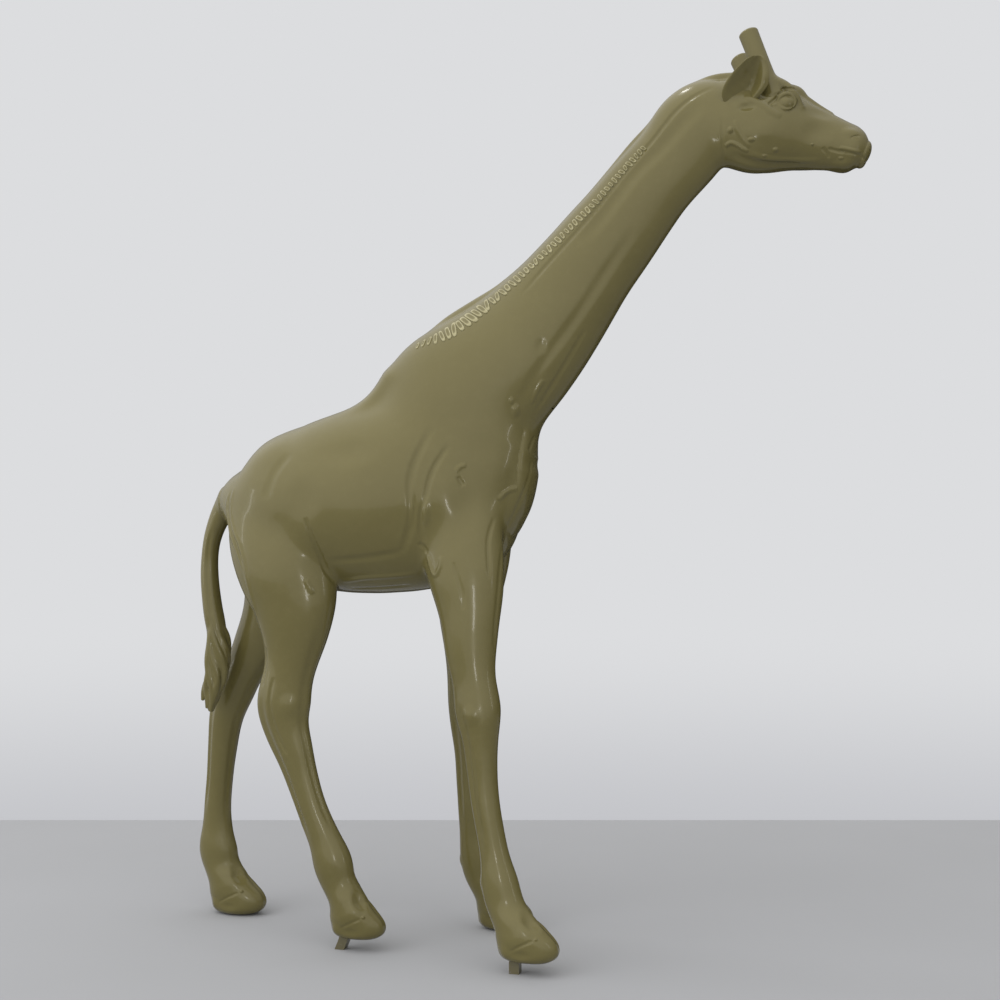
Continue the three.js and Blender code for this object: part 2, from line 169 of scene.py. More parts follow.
class Limb:
    """Elliptical sections along a curve. A row is x, y, z, half depth fore and aft, half width.

    flutes are grooves along the limb: angle from the fore side in degrees, width in degrees,
    depth in millimetres, and the shares of the length where it starts and stops."""

    def __init__(self, rows, cap=0.7, flutes=(), margin=130):
        self.curve = Spline(rows)
        self.cap = cap
        self.flutes = flutes
        sizes = self.curve.rows[:, 3:5].max()
        self.low = self.curve.samples.min(0) - sizes - margin
        self.high = self.curve.samples.max(0) + sizes + margin

    def distance(self, points):
        travel = self.curve.nearest(points)
        row, lead, _ = self.curve.at(travel)
        along = unit(lead[:, :3])
        side = unit(ACROSS - along * along[:, 1:2])
        fore = np.cross(side, along)
        away = points - row[:, :3]
        u, v, w = ((away * axis).sum(1) for axis in (fore, side, along))
        depth, width = row[:, 3], row[:, 4]
        result = ellipsoid(u, v, w, depth, width, self.cap * np.minimum(depth, width))
        for angle, spread, deep, start, stop in self.flutes:
            turn = np.degrees(np.arctan2(v / width, u / depth)) - angle
            turn = (turn + 180) % 360 - 180
            groove = np.clip(1 - (turn / spread) ** 2, 0, None) ** 3
            result += deep * groove * window(travel / self.curve.length, start, stop)
        return result


# %% Slope and settling
TETRAHEDRON = np.array([[1, -1, -1], [-1, -1, 1], [-1, 1, -1], [1, 1, 1]], float)
CHUNK = 24000  # points
LEAST_STEEPNESS = 0.15  # squared; a flatter slope than this is noise
LONGEST_SLIDE = 4  # millimetres in one round


def evaluate(field, points):
    """The field at every point, worked out in chunks that fit the processor's cache."""
    if not len(points):
        return np.zeros(0)
    return np.concatenate([field(points[i:i + CHUNK]) for i in range(0, len(points), CHUNK)])


def slope(field, points, step=0.6):
    """Distance and slope from four samples at the corners of a small tetrahedron: the mean of the
    samples, and each corner's direction times its sample, summed, over four steps."""
    samples = [evaluate(field, points + step * corner) for corner in TETRAHEDRON]
    gradient = sum(value[:, None] * corner for value, corner in zip(samples, TETRAHEDRON))
    return sum(samples) / 4, gradient / (4 * step)


def settle(field, points, rounds=2, walls=()):
    """Slides points down the slope onto the skin. walls are unit normals they may not move along."""
    for _ in range(rounds):
        value, gradient = slope(field, points)
        for wall in walls:
            gradient = gradient - (gradient @ wall)[:, None] * wall
        push = value / np.maximum((gradient**2).sum(1), LEAST_STEEPNESS)
        points = points - np.clip(push, -LONGEST_SLIDE, LONGEST_SLIDE)[:, None] * gradient
    return points


# %% Clay that is laid on a surface
LAYING_ROUNDS = 6  # of settling, for a detail's own points
PATH_STEP = 26  # millimetres between the settled points of a crease


class Bump:
    """A soft swelling, or a hollow where height is negative: height times (1 - q) cubed, where q
    is the squared distance from the centre in units of the three radii."""

    def __init__(self, centre, radii, height):
        self.centre = np.array(centre, float)
        self.radii = np.array(radii, float) * np.ones(3)
        self.height = height

    def laid(self, field):
        """The same swelling with its centre slid onto a surface."""
        centre = settle(field, self.centre[None], LAYING_ROUNDS)[0]
        bump = Bump(centre, self.radii, self.height)
        bump.low, bump.high = centre - self.radii, centre + self.radii
        return bump

    def change(self, points):
        q = (((points - self.centre) / self.radii) ** 2).sum(1)
        return -self.height * np.clip(1 - q, 0, None) ** 3

    def mirrored(self):
        return Bump(self.centre * [1, -1, 1], self.radii, self.height)


class Crease:
    """A groove along a curve, or a ridge where depth is negative: depth times (1 - q) cubed,
    where q is the squared distance from the curve over the width's square, fading at both ends."""

    def __init__(self, path, width, depth):
        self.path = np.array(path, float)
        self.width, self.depth = width, depth

    def laid(self, field):
        """The same groove with its path slid onto a surface, between its points as well."""
        curve = Spline(self.path)
        count = max(5, int(curve.length / PATH_STEP))
        path = curve.at(np.linspace(0, curve.length, count))[0]
        path = settle(field, path, LAYING_ROUNDS)
        crease = Crease(path, self.width, self.depth)
        crease.curve = Spline(path, spacing=max(5.0, self.width * 0.6))
        crease.low = crease.curve.samples.min(0) - self.width
        crease.high = crease.curve.samples.max(0) + self.width
        return crease

    def change(self, points):
        travel = self.curve.nearest(points)
        fade = 1 - (2 * travel / self.curve.length - 1) ** 4
        gap = ((points - self.curve.at(travel)[0]) ** 2).sum(1)
        return self.depth * fade * np.clip(1 - gap / self.width**2, 0, None) ** 3

    def mirrored(self):
        return Crease(self.path * [1, -1, 1], self.width, self.depth)


def both_sides(details):
    """The details given for the right side, and their mirror images on the left."""
    return list(details) + [detail.mirrored() for detail in details]


def add_clay(distance, points, details):
    """Adds each detail to the distances of the points that lie inside its box."""
    low, high = points.min(0), points.max(0)
    for detail in details:
        if np.any(detail.low > high) or np.any(detail.high < low):
            continue
        near = np.all((points > detail.low) & (points < detail.high), axis=1)
        if near.any():
            distance[near] += detail.change(points[near])
    return distance


def limb_distance(limb, points):
    """A limb's distance, or simply a long way off for points outside its box."""
    result = np.full(len(points), FAR)
    near = np.all((points > limb.low) & (points < limb.high), axis=1)
    if near.any():
        result[near] = limb.distance(points[near])
    return result


print("two balls 10 mm apart melt to", melt(np.array([5.0]), np.array([5.0]), 20.0))

# %% [markdown]
# ## Trunk, neck and legs
# The stations are close to the ones the frame's solids were drawn from: a middle point, a half
# depth and a half width. The trunk, neck and each leg are limbs, the hooves are stacks of level
# ovals, and the joins are melted together with a reach that leaves the shoulder and thigh
# readable. A limb this fat needs a middle line that is nearly straight: where the line bends in a
# circle smaller than the limb's half depth, the nearest point jumps and leaves a step in the skin.
# So the hump of the withers and the brisket are short limbs of their own.

# %% Stations of the body
TORSO = Limb([
    [-832, 0, 1206, 42, 44], [-806, 0, 1206, 74, 74], [-758, 0, 1201, 119, 110],
    [-680, 0, 1200, 186, 154], [-573, 0, 1194, 230, 182], [-464, 0, 1199, 252, 193],
    [-356, 0, 1209, 265, 192], [-248, 0, 1228, 273, 182], [-128, 0, 1254, 262, 164],
    [-22, 0, 1282, 212, 128], [40, 0, 1288, 146, 94], [64, 0, 1286, 106, 70],
], cap=0.35)
NECK = Limb([
    [-172, 0, 1330, 212, 140], [-108, 0, 1463, 237, 140], [-36, 0, 1537, 204, 126],
    [41, 0, 1602, 181, 112], [150, 0, 1718, 155, 94], [241, 0, 1829, 136, 82],
    [328, 0, 1932, 123, 74], [415, 0, 2037, 114, 68], [496, 0, 2124, 115, 67],
    [556, 0, 2190, 116, 68], [618, 0, 2210, 92, 60],
])
BRISKET = Limb([
    [50, 0, 1270, 44, 66], [32, 0, 1205, 48, 80], [-8, 0, 1130, 50, 86], [-60, 0, 1070, 44, 76],
])
WITHERS = Limb([
    [-440, 0, 1405, 42, 66], [-385, 0, 1442, 42, 74], [-340, 0, 1481, 42, 78],
    [-300, 0, 1528, 42, 80],
])
TENDONS_FRONT = (  # angle, width, depth, start and stop of each flute
    (52, 26, 4.5, 0.50, 0.84), (-52, 26, 4.5, 0.50, 0.84), (150, 22, 2.5, 0.2, 0.85),
)
TENDONS_HIND = (
    (46, 26, 5.0, 0.46, 0.84), (-46, 26, 5.0, 0.46, 0.84), (-150, 22, 2.5, 0.3, 0.85),
)
LEGS = {
    "front_leg_right": Limb([
        [-96, -56, 1270, 104, 54], [-88, -92, 1110, 112, 66], [-64, -111, 960, 99, 62],
        [-54, -121, 870, 80, 53], [-50, -127, 800, 70, 47], [-38, -134, 715, 59, 41],
        [-27, -140, 642, 61, 43], [-19, -145, 572, 49, 38], [-12, -150, 495, 41, 33],
        [-3, -156, 425, 37, 30], [14, -163, 340, 36, 30], [29, -169, 275, 39, 31],
        [41, -173, 222, 48, 37], [56, -177, 172, 49, 37], [78, -181, 128, 48, 38],
        [97, -184, 96, 50, 38],
    ], flutes=TENDONS_FRONT),
    "front_leg_left": Limb([
        [-104, 56, 1270, 104, 54], [-110, 92, 1110, 110, 66], [-128, 108, 960, 97, 62],
        [-137, 115, 850, 76, 51], [-138, 121, 756, 61, 44], [-138, 129, 655, 58, 43],
        [-138, 134, 590, 54, 40], [-136, 140, 520, 46, 36], [-136, 147, 440, 41, 32],
        [-135, 155, 350, 40, 31], [-130, 162, 265, 42, 31], [-120, 168, 195, 50, 37],
        [-108, 173, 150, 50, 38], [-85, 178, 108, 44, 38], [-68, 182, 80, 42, 38],
    ], flutes=TENDONS_FRONT),
    "hind_leg_right": Limb([
        [-646, -54, 1240, 130, 62], [-632, -92, 1090, 135, 80], [-574, -104, 955, 132, 76],
        [-562, -110, 859, 106, 63], [-566, -112, 790, 84, 54], [-577, -114, 722, 73, 47],
        [-589, -115, 648, 77, 45], [-582, -115, 584, 66, 41], [-562, -115, 525, 56, 37],
        [-532, -115, 439, 46, 33], [-490, -115, 334, 43, 32], [-464, -115, 280, 46, 34],
        [-441, -115, 222, 53, 40], [-424, -115, 176, 48, 38], [-400, -115, 136, 45, 39],
        [-386, -115, 104, 48, 40],
    ], flutes=TENDONS_HIND),
    "hind_leg_left": Limb([
        [-655, 54, 1240, 132, 62], [-668, 88, 1090, 140, 80], [-699, 102, 975, 123, 75],
        [-735, 107, 880, 97, 62], [-786, 112, 786, 75, 53], [-829, 115, 715, 62, 47],
        [-861, 117, 655, 62, 45], [-884, 118, 590, 54, 41], [-897, 120, 515, 46, 37],
        [-907, 123, 425, 41, 33], [-916, 126, 320, 41, 32], [-918, 129, 240, 48, 34],
        [-914, 131, 178, 58, 40], [-900, 133, 132, 53, 39], [-878, 134, 88, 53, 38],
    ], flutes=TENDONS_HIND),
}
HOOVES = {  # middle x and y, height of the sole, size
    "front_leg_right": (122, -189, 30, 0.96),
    "front_leg_left": (-46, 187, 0, 1.0),
    "hind_leg_right": (-366, -115, 30, 0.94),
    "hind_leg_left": (-850, 135, 0, 1.06),
}
HOOF_ROWS = Spline([  # height stands first: height, x offset, unused, half length, half width
    [0, -3, 0, 58, 35], [12, -1, 0, 72, 43], [34, 2, 0, 80, 46], [60, -4, 0, 74, 45],
    [84, -14, 0, 58, 40], [106, -26, 0, 43, 36],
])
HOOF_TOP = 112  # millimetres over the sole, on a hoof of size 1
print("limbs:", 4 + len(LEGS), "  longest is the neck,", round(NECK.curve.length), "mm")


# %% Hooves
def hoof_distance(name, points):
    """Level ovals by height, kept above a flat sole: the oval's own distance, then a soft
    maximum with the height under the sole and with the height over the coronet."""
    x, y, sole, size = HOOVES[name]
    height = np.clip((points[:, 2] - sole) / size, 0, HOOF_ROWS.rows[-1, 0])
    row = HOOF_ROWS.at(np.interp(height, HOOF_ROWS.rows[:, 0], HOOF_ROWS.knots))[0]
    u = points[:, 0] - x - size * row[:, 1]
    v = points[:, 1] - y
    oval = 0.85 * ellipsoid(u, v, 0.0, size * row[:, 3], size * row[:, 4], 1.0)
    below = sole - points[:, 2]
    above = points[:, 2] - sole - HOOF_TOP * size
    return -melt(melt(-oval, -below, 26), -above, 44)


def hoof_details(name):
    """The long hollow up the front of the pastern, a faint line where the horn of the hoof starts,
    the cleft between the two toes and the bulbs of the heel."""
    x, y, sole, size = HOOVES[name]

    def at(a, b, c):
        return (x + size * a, y + b * size, sole + size * c)

    details = [
        Crease([at(6, 0, 138), at(34, 0, 108), at(62, 0, 80), at(80, 0, 46), at(82, 0, 18)],
               13, 3),
        Crease([at(-82, 0, 12), at(-80, 0, 44), at(-62, 0, 80)], 13, 6),
    ]
    for side in (-1, 1):
        details += [
            Bump(at(16, side * 26, 112), (40, 26, 52), -8),
            Bump(at(30, side * 40, 70), (6, 6, 6), 3.5),
            Crease([at(-40, side * 44, 34), at(-10, side * 46, 52), at(22, side * 42, 66)],
                   7, 1.6),
            Bump(at(-54, side * 30, 30), (26, 22, 26), 3),
            Bump(at(-8, side * 44, 26), (40, 14, 18), -2.5),
        ]
    return details


HOOF_CLAY = {name: hoof_details(name) for name in HOOVES}
print("hooves:", len(HOOVES), "  details on each:", len(HOOF_CLAY["front_leg_right"]))

# %% [markdown]
# ## Muscles and creases
# On the real figure a modeller cut these with a loop tool before the mould was taken. Long lines
# matter more than bulk, because the lacquer draws a bright hair along each one.

# %% Clay on the body
BODY_CLAY = both_sides([
    # shoulder: the rear edge of the blade and the arm, the point of the elbow, the front fold
    Crease([(-150, -150, 1390), (-186, -176, 1310), (-203, -180, 1233), (-198, -176, 1167),
            (-214, -164, 1102), (-236, -150, 1050)], 20, 5.5),
    Crease([(-104, -140, 1340), (-146, -170, 1262), (-164, -172, 1193), (-180, -164, 1128),
            (-172, -150, 1080)], 15, 5),
    Bump((-120, -140, 1190), (95, 60, 150), 9),
    Crease([(-200, -174, 1250), (-198, -174, 1205), (-200, -170, 1160), (-206, -164, 1120)], 11, -3.5),
    Bump((-164, -164, 1168), (22, 30, 62), 6),
    Crease([(-168, -140, 1048), (-158, -146, 1022), (-138, -154, 996), (-124, -160, 1016),
            (-120, -162, 1046)], 11, -4),
    Crease([(-190, -146, 1082), (-176, -146, 1068), (-168, -144, 1052)], 11, 3.5),
    Crease([(60, -66, 1226), (46, -80, 1222), (32, -92, 1212), (18, -104, 1192)], 11, -4.5),
    Crease([(16, -118, 1150), (4, -142, 1096), (6, -152, 1040), (8, -152, 985)], 11, 3),
    Crease([(-84, -165, 1030), (-74, -172, 992), (-60, -174, 948), (-56, -172, 905)], 11, 3),
    Crease([(-86, -150, 1264), (-74, -148, 1280), (-58, -144, 1284)], 11, -3.5),
    Crease([(-80, -148, 1256), (-74, -146, 1242), (-64, -142, 1230)], 11, 4),
    Crease([(34, -108, 1075), (34, -126, 1020), (30, -136, 957), (22, -140, 880), (16, -140, 800)], 11, 3),
    Crease([(84, -30, 1310), (78, -46, 1250), (62, -62, 1180), (44, -70, 1110)], 11, 2),
    Crease([(92, -20, 1372), (96, -36, 1350), (88, -50, 1326)], 11, 2.5),
    # flank, belly and the fold in front of the thigh
    Crease([(-500, -186, 1150), (-480, -176, 1084), (-464, -152, 1030), (-450, -104, 970)], 12, 7),
    Bump((-500, -190, 1200), (70, 40, 90), -6),
    Crease([(-450, -150, 1030), (-390, -160, 1030), (-310, -164, 1036), (-226, -152, 1056)], 18, 2.4),
    Crease([(-430, -92, 975), (-370, -108, 982), (-290, -112, 984), (-212, -96, 1002)], 14, -3),
    Crease([(-420, -60, 962), (-330, -66, 958), (-240, -60, 975)], 12, 3),
    Crease([(-505, -164, 985), (-497, -161, 966), (-486, -158, 944)], 11, -3),
    Bump((-380, -190, 1330), (120, 60, 60), -5),
    # rump and the two long ridges down the back of the thigh
    Crease([(-776, -98, 1232), (-780, -100, 1165), (-740, -140, 1092), (-696, -158, 1018),
            (-668, -154, 928), (-656, -146, 866)], 12, -4),
    Crease([(-752, -112, 1245), (-753, -124, 1155), (-712, -160, 1078), (-680, -164, 982),
            (-662, -152, 895)], 12, -4),
    Crease([(-764, -105, 1238), (-766, -112, 1160), (-726, -150, 1085), (-688, -161, 1000),
            (-665, -153, 912)], 12, 3),
    Bump((-640, -120, 1335), (110, 90, 80), 5),
    Crease([(-560, -150, 1330), (-600, -160, 1270), (-620, -164, 1200)], 26, 3.5),
    Bump((-540, -150, 1060), (100, 60, 130), 6),
    # the dark furrow under the mane and the long hollow below it, up to the nape
    Crease([(75, -92, 1742), (181, -78, 1862), (256, -72, 1943), (365, -64, 2074),
            (426, -60, 2140), (479, -58, 2196), (521, -58, 2232), (590, -50, 2268)], 11, 5),
    Crease([(230, -84, 1870), (300, -82, 1950), (386, -74, 2058), (430, -72, 2098), (470, -72, 2135),
            (515, -72, 2180), (570, -66, 2228)], 34, 6),
    Crease([(66, -98, 1433), (130, -98, 1540), (215, -84, 1660), (300, -70, 1790), (380, -56, 1910)], 26, 3),
    Crease([(110, -60, 1424), (150, -58, 1494), (189, -58, 1556), (240, -50, 1650)], 12, 3),
    Crease([(100, -74, 1448), (118, -79, 1482), (137, -78, 1514)], 11, -3),
    Bump((134, -98, 1600), (26, 20, 34), -3),
    Bump((64, -92, 1432), (16, 20, 26), 5),
    Bump((54, -101, 1456), (9, 12, 14), 3),
])
LEG_CLAY = [
    # points of the hocks, caps of the knees, and the small pads behind the fetlocks
    Bump((-560, -150, 640), (40, 24, 46), 3), Bump((-846, 152, 650), (40, 24, 46), 3),
    Bump((-34, -176, 634), (34, 20, 40), 4), Bump((-146, 166, 645), (34, 20, 40), 4),
    Bump((2, -172, 214), (22, 26, 30), 4), Bump((-160, 168, 190), (22, 26, 30), 4),
    Crease([(-600, -158, 720), (-612, -158, 650), (-598, -154, 585), (-562, -148, 510)], 10, 4),
    Crease([(-852, 158, 720), (-880, 160, 655), (-902, 158, 590), (-914, 154, 520)], 10, 4),
    Crease([(-640, -150, 800), (-640, -146, 740), (-640, -140, 690)], 12, 4),
    Crease([(-30, -178, 560), (-22, -182, 480), (-12, -186, 400), (6, -192, 320)], 9, 3),
    Crease([(-150, 176, 560), (-150, 180, 460), (-146, 184, 360)], 9, 3),
]
print("muscles and creases:", len(BODY_CLAY) + len(LEG_CLAY))

# %% [markdown]
# ## Mane, tail and tuft
# The mane is a low crest down the back of the neck; its small pads come later, on the finished
# skin. The tail is a plain limb that ends in a tuft of twisted locks. Each lock is a thin limb
# wound about the tuft's middle line, with a little sway so that no two look alike.

# %% Mane, tail and locks
MANE = Limb([
    [-230, 0, 1628, 20, 24], [-176, 0, 1670, 26, 28], [-96, 0, 1716, 28, 27], [0, 0, 1770, 26, 23],
    [93, 0, 1846, 24, 20], [183, 0, 1934, 23, 17], [283, 0, 2038, 23, 16], [368, 0, 2134, 23, 15],
    [440, 0, 2207, 20, 15], [506, 0, 2262, 18, 15], [572, 0, 2297, 20, 15], [640, 0, 2304, 15, 13],
], margin=60)
TAIL = Limb([
    [-726, 0, 1244, 64, 48], [-776, 0, 1236, 51, 40], [-820, 1, 1211, 38, 33], [-854, 4, 1167, 30, 27],
    [-881, 9, 1106, 25, 24], [-893, 14, 1036, 25, 23], [-890, 18, 950, 27, 25],
    [-882, 20, 890, 28, 26], [-874, 20, 850, 28, 25], [-868, 20, 815, 21, 18], [-866, 20, 788, 9, 8],
], flutes=((60, 24, 2.0, 0.3, 0.9), (-100, 24, 2.0, 0.35, 0.95)), margin=80)
TUFT_CORE = Limb([
    [-877, 20, 876, 20, 18], [-868, 20, 820, 28, 23], [-865, 20, 745, 30, 25], [-871, 20, 690, 25, 21],
    [-881, 20, 640, 15, 13], [-888, 20, 604, 6, 6],
], margin=60)


def lock(phase, wind, foot, thick, start=0.0):
    """A twisted lock: a thin limb on a helix about the tuft's middle line, about 0.8 of the
    core's half depth out. It swells and tapers as a half sine, and its lower part drifts to its
    foot. Sines of the share of the length sway it round and in and out."""
    share = np.linspace(start, 1, 10)
    row = TUFT_CORE.curve.at(share * TUFT_CORE.curve.length)[0]
    angle = phase + wind * share + 0.32 * np.sin(9 * share + 2 * phase)
    out = (0.80 + 0.10 * np.sin(11 * share + 3 * phase)) * row[:, 3]
    lower = np.clip((share - 0.45) / 0.55, 0, 1) ** 1.5
    drift = (np.array(foot) - row[-1, :3]) * lower[:, None]
    size = thick * np.sin(math.pi * (0.08 + 0.88 * (share - start) / (1 - start))) ** 0.7 + 2.0
    return Limb(np.column_stack([
        row[:, 0] + out * np.cos(angle) + drift[:, 0],
        row[:, 1] + 0.85 * out * np.sin(angle) + drift[:, 1],
        row[:, 2] + drift[:, 2], size, size * 0.85,
    ]), margin=40)


LOCKS = [
    lock(-3.3, 2.1, (-887, 20, 602), 12), lock(-2.5, 1.9, (-886, 18, 608), 10.5),
    lock(-1.8, 2.3, (-885, 19, 604), 11.5), lock(-1.1, 2.0, (-884, 21, 608), 10),
    lock(-0.4, 2.2, (-885, 22, 603), 11.5), lock(0.4, 2.1, (-886, 22, 608), 10.5),
    lock(1.2, 2.0, (-887, 22, 605), 11.5), lock(2.1, 2.2, (-888, 21, 607), 11),
    lock(-3.0, -0.8, (-908, 16, 634), 12, 0.35), lock(-2.1, -1.1, (-893, 14, 612), 10, 0.3),
    lock(-1.2, 1.5, (-874, 22, 640), 8, 0.1), lock(-2.2, 1.3, (-878, 14, 628), 7, 0.2),
]
print("length of mane:", round(MANE.curve.length), "mm   locks:", len(LOCKS))

# %% [markdown]
# ## The head
# The head is modelled looking straight ahead and then turned a little to its left, as the frame's
# is. Its forms are small and close together, so they are ridges and rods melted on with a short
# reach: brow, lids, cheekbone, jaw. The mouth, nostril and throat are creases.

# %% Head parts, looking straight ahead
SKULL = Limb([
    [556, 0, 2212, 72, 50], [588, 0, 2202, 110, 68], [642, 0, 2189, 123, 80], [700, 0, 2174, 125, 84],
    [754, 0, 2160, 112, 80], [808, 0, 2144, 91, 66], [872, 0, 2124, 75, 54], [924, 0, 2106, 63, 50],
    [950, 0, 2096, 52, 44], [964, 0, 2090, 36, 33],
], cap=0.55)


def rod(path, sizes, margin=50):
    """A round rod through a path, its radius eased between the sizes given."""
    path = np.array(path, float)
    radius = np.interp(np.linspace(0, 1, len(path)), np.linspace(0, 1, len(sizes)), sizes)
    return Limb(np.column_stack([path, radius, radius]), cap=1.0, margin=margin)


def paired(limb):
    """A limb and its mirror image."""
    twin = Limb(limb.curve.rows * [1, -1, 1, 1, 1], cap=limb.cap)
    twin.low, twin.high = limb.low.copy(), limb.high.copy()
    twin.low[1], twin.high[1] = -limb.high[1], -limb.low[1]
    return [limb, twin]


HEAD_RODS = [  # reach of the melt, then the pair
    (22, paired(rod([(700, -40, 2286), (730, -54, 2274), (760, -66, 2254), (786, -68, 2226),
                     (800, -60, 2198)], (12, 15, 12, 6)))),
    (16, paired(rod([(748, -22, 2280), (790, -20, 2256), (830, -16, 2230), (880, -12, 2196)],
                    (15, 11, 8)))),
]
EYES = paired(rod([(758, -64, 2203), (761, -64.5, 2203), (764, -64, 2203)], (22.5, 23, 22.5)))
LIDS = [
    (4, paired(rod([(738, -76, 2200), (744, -79, 2214), (755, -80, 2223), (769, -78, 2224),
                    (780, -76, 2215), (784, -74, 2202), (779, -76, 2190)],
                   (2, 5.5, 7.5, 7.5, 6.5, 5, 2)))),
    (7, paired(rod([(740, -77, 2199), (748, -80, 2188), (761, -80, 2183), (773, -78, 2186)],
                    (2, 2.6, 2.6, 2)))),
]


def horn(foot, top, sizes):
    """A horn: a thick rod, slightly waisted, with a rounded flat end."""
    line = np.linspace(foot, top, len(sizes))
    return Limb(np.column_stack([line, sizes, sizes]), cap=0.42)


HORNS = {
    "right": horn((731, -48, 2235), (671, -62, 2406), (30, 26, 24.5, 25, 25.5)),
    "left": horn((726, 48, 2235), (659, 62, 2400), (29, 25, 24, 25, 25.5)),
}
HEAD_CLAY = both_sides([
    Bump((704, -80, 2238), (38, 34, 32), -16),  # hollow between ear and eye
    Crease([(716, -84, 2196), (728, -84, 2208), (742, -80, 2224)], 8, 7),  # slit behind the eye
    Bump((722, -84, 2194), (7, 7, 5), 4),
    Bump((733, -82, 2196), (5, 5, 4), 3),
    Crease([(738, -80, 2226), (752, -76, 2241), (776, -72, 2240), (797, -66, 2220)], 7, 4),
    Crease([(655, -78, 2224), (690, -82, 2206), (716, -84, 2182), (748, -82, 2162)], 15, -4.5),
    Bump((660, -84, 2194), (32, 26, 18), -7),
    Bump((838, -56, 2130), (60, 30, 44), -6),
    Bump((850, -40, 2180), (66, 26, 30), -3),
    Bump((671, -71, 2107), (12, 13, 8), 9),  # warts on the cheek
    Bump((733, -57, 2083), (11, 12, 8), 8),
    Bump((706, -50, 2070), (10, 9, 5), 6),
    Bump((618, -72, 2136), (10, 12, 12), 9),
    Bump((827, -50, 2098), (6, 6, 5), 4),
    Bump((700, -66, 2128), (60, 30, 46), 3),
    Crease([(628, -80, 2160), (634, -80, 2138), (648, -72, 2112), (666, -64, 2088)], 10, -3.5),
    Crease([(604, -56, 2094), (618, -62, 2104), (640, -60, 2095), (664, -54, 2082)], 8, -8),
    Crease([(664, -53, 2080), (721, -42, 2066), (797, -30, 2062), (850, -30, 2060)], 13, -3.5),
    Crease([(620, -46, 2080), (670, -38, 2062), (730, -30, 2052), (800, -22, 2052)], 18, 4),
    Crease([(596, -76, 2176), (597, -72, 2140), (599, -56, 2100), (603, -30, 2074), (606, 0, 2064)], 9, 2),
    # the mouth and its corner, the lips and the nostril
    Crease([(868, -50, 2086), (888, -50, 2079), (908, -49, 2074)], 7, 5),
    Crease([(904, -49, 2075), (934, -44, 2071), (958, -30, 2067), (974, 0, 2065)], 7, 1.6),
    Crease([(852, -48, 2090), (862, -47, 2078), (868, -46, 2066), (866, -44, 2056)], 9, 3),
    Crease([(896, -50, 2088), (926, -47, 2081), (954, -38, 2076)], 8, -4.5),
    Bump((900, -40, 2060), (10, 10, 6), 3.5),
    Bump((908, -22, 2050), (46, 30, 20), 4),
    Crease([(924, -46, 2112), (936, -44, 2117), (948, -40, 2118)], 5, 2.5),
    Bump((926, -34, 2126), (34, 26, 24), 4),
]) + [
    Bump((796, -10, 2262), (46, 50, 36), 13),
    Bump((936, 0, 2142), (40, 30, 22), 3),
    Bump((958, 0, 2058), (24, 44, 22), 5),
    Crease([(640, 0, 2322), (690, 0, 2312), (740, 0, 2306)], 26, -3),
]
HEAD_PIVOT = np.array([582.0, 0.0, 2150.0])
yaw, roll = math.radians(10), math.radians(-6)
HEAD_TURN = np.array([
    [math.cos(yaw), -math.sin(yaw) * math.cos(roll), math.sin(yaw) * math.sin(roll)],
    [math.sin(yaw), math.cos(yaw) * math.cos(roll), -math.cos(yaw) * math.sin(roll)],
    [0.0, math.sin(roll), math.cos(roll)],
])


def into_head(points):
    """Undoes the head's turn, so a point of the statue is found in the straight-ahead head."""
    return (points - HEAD_PIVOT) @ HEAD_TURN + HEAD_PIVOT


def out_of_head(points):
    """Turns a point of the straight-ahead head to where the statue has it."""
    return (points - HEAD_PIVOT) @ HEAD_TURN.T + HEAD_PIVOT


def bare_head(points):
    """Skull, brow and the bridge of the nose, before any clay."""
    result = limb_distance(SKULL, points)
    for reach, pair in HEAD_RODS:
        for part in pair:
            result = melt(result, limb_distance(part, points), reach)
    return result


HEAD_CLAY = [detail.laid(bare_head) for detail in HEAD_CLAY]
EYE_REACH, HORN_REACH = 4, 16  # millimetres of melt


def head_distance(points):
    """The bare head, then clay, then eyes and lids, then the horns."""
    result = add_clay(bare_head(points), points, HEAD_CLAY)
    for part in EYES:
        result = melt(result, limb_distance(part, points), EYE_REACH)
    for reach, pair in LIDS:
        for part in pair:
            result = melt(result, limb_distance(part, points), reach)
    for part in HORNS.values():
        result = melt(result, limb_distance(part, points), HORN_REACH)
    return result


print("head parts:", 1 + 2 * (len(HEAD_RODS) + len(LIDS)) + len(EYES) + len(HORNS))
print("head details:", len(HEAD_CLAY))


# %% The whole skin as one function
HEAD_LOW, HEAD_HIGH = np.array([470, -190, 1960]), np.array([1060, 260, 2480])
TAIL_ALONE = 1000  # below this height the tail hangs clear of the body
HOOF_REGION = 260  # only points below this height can be near a hoof
REACH = {  # millimetres of melt at each kind of join
    "neck": 54, "brisket": 40, "withers": 50, "hoof": 56, "leg": 34, "crest": 14, "tail": 30,
    "head": 20, "tuft": 14, "lock": 4,
}


def unevenness(points):
    """Hand-laid laminate is never quite fair: a few crossed sine waves, under a millimetre deep."""
    x, y, z = points.T / 100
    long_ = np.sin(1.7 * x + 0.8 * z + 1) * np.sin(1.3 * z - 0.9 * x + 2 * y)
    short = np.sin(3.9 * x - 2.2 * z + 3 * y) * np.sin(3.1 * z + 2.6 * x + 1.5)
    return 0.9 * long_ + 0.35 * short


def bare_body(points):
    """Trunk, neck, legs and hooves melted together, before any clay."""
    result = limb_distance(TORSO, points)
    result = melt(result, limb_distance(NECK, points), REACH["neck"])
    result = melt(result, limb_distance(BRISKET, points), REACH["brisket"])
    result = melt(result, limb_distance(WITHERS, points), REACH["withers"])
    for name, leg in LEGS.items():
        shank = limb_distance(leg, points)
        near = points[:, 2] < HOOF_REGION
        if near.any():
            hoof = hoof_distance(name, points[near])
            shank[near] = melt(shank[near], hoof, REACH["hoof"])
        result = melt(result, shank, REACH["leg"])
    return result


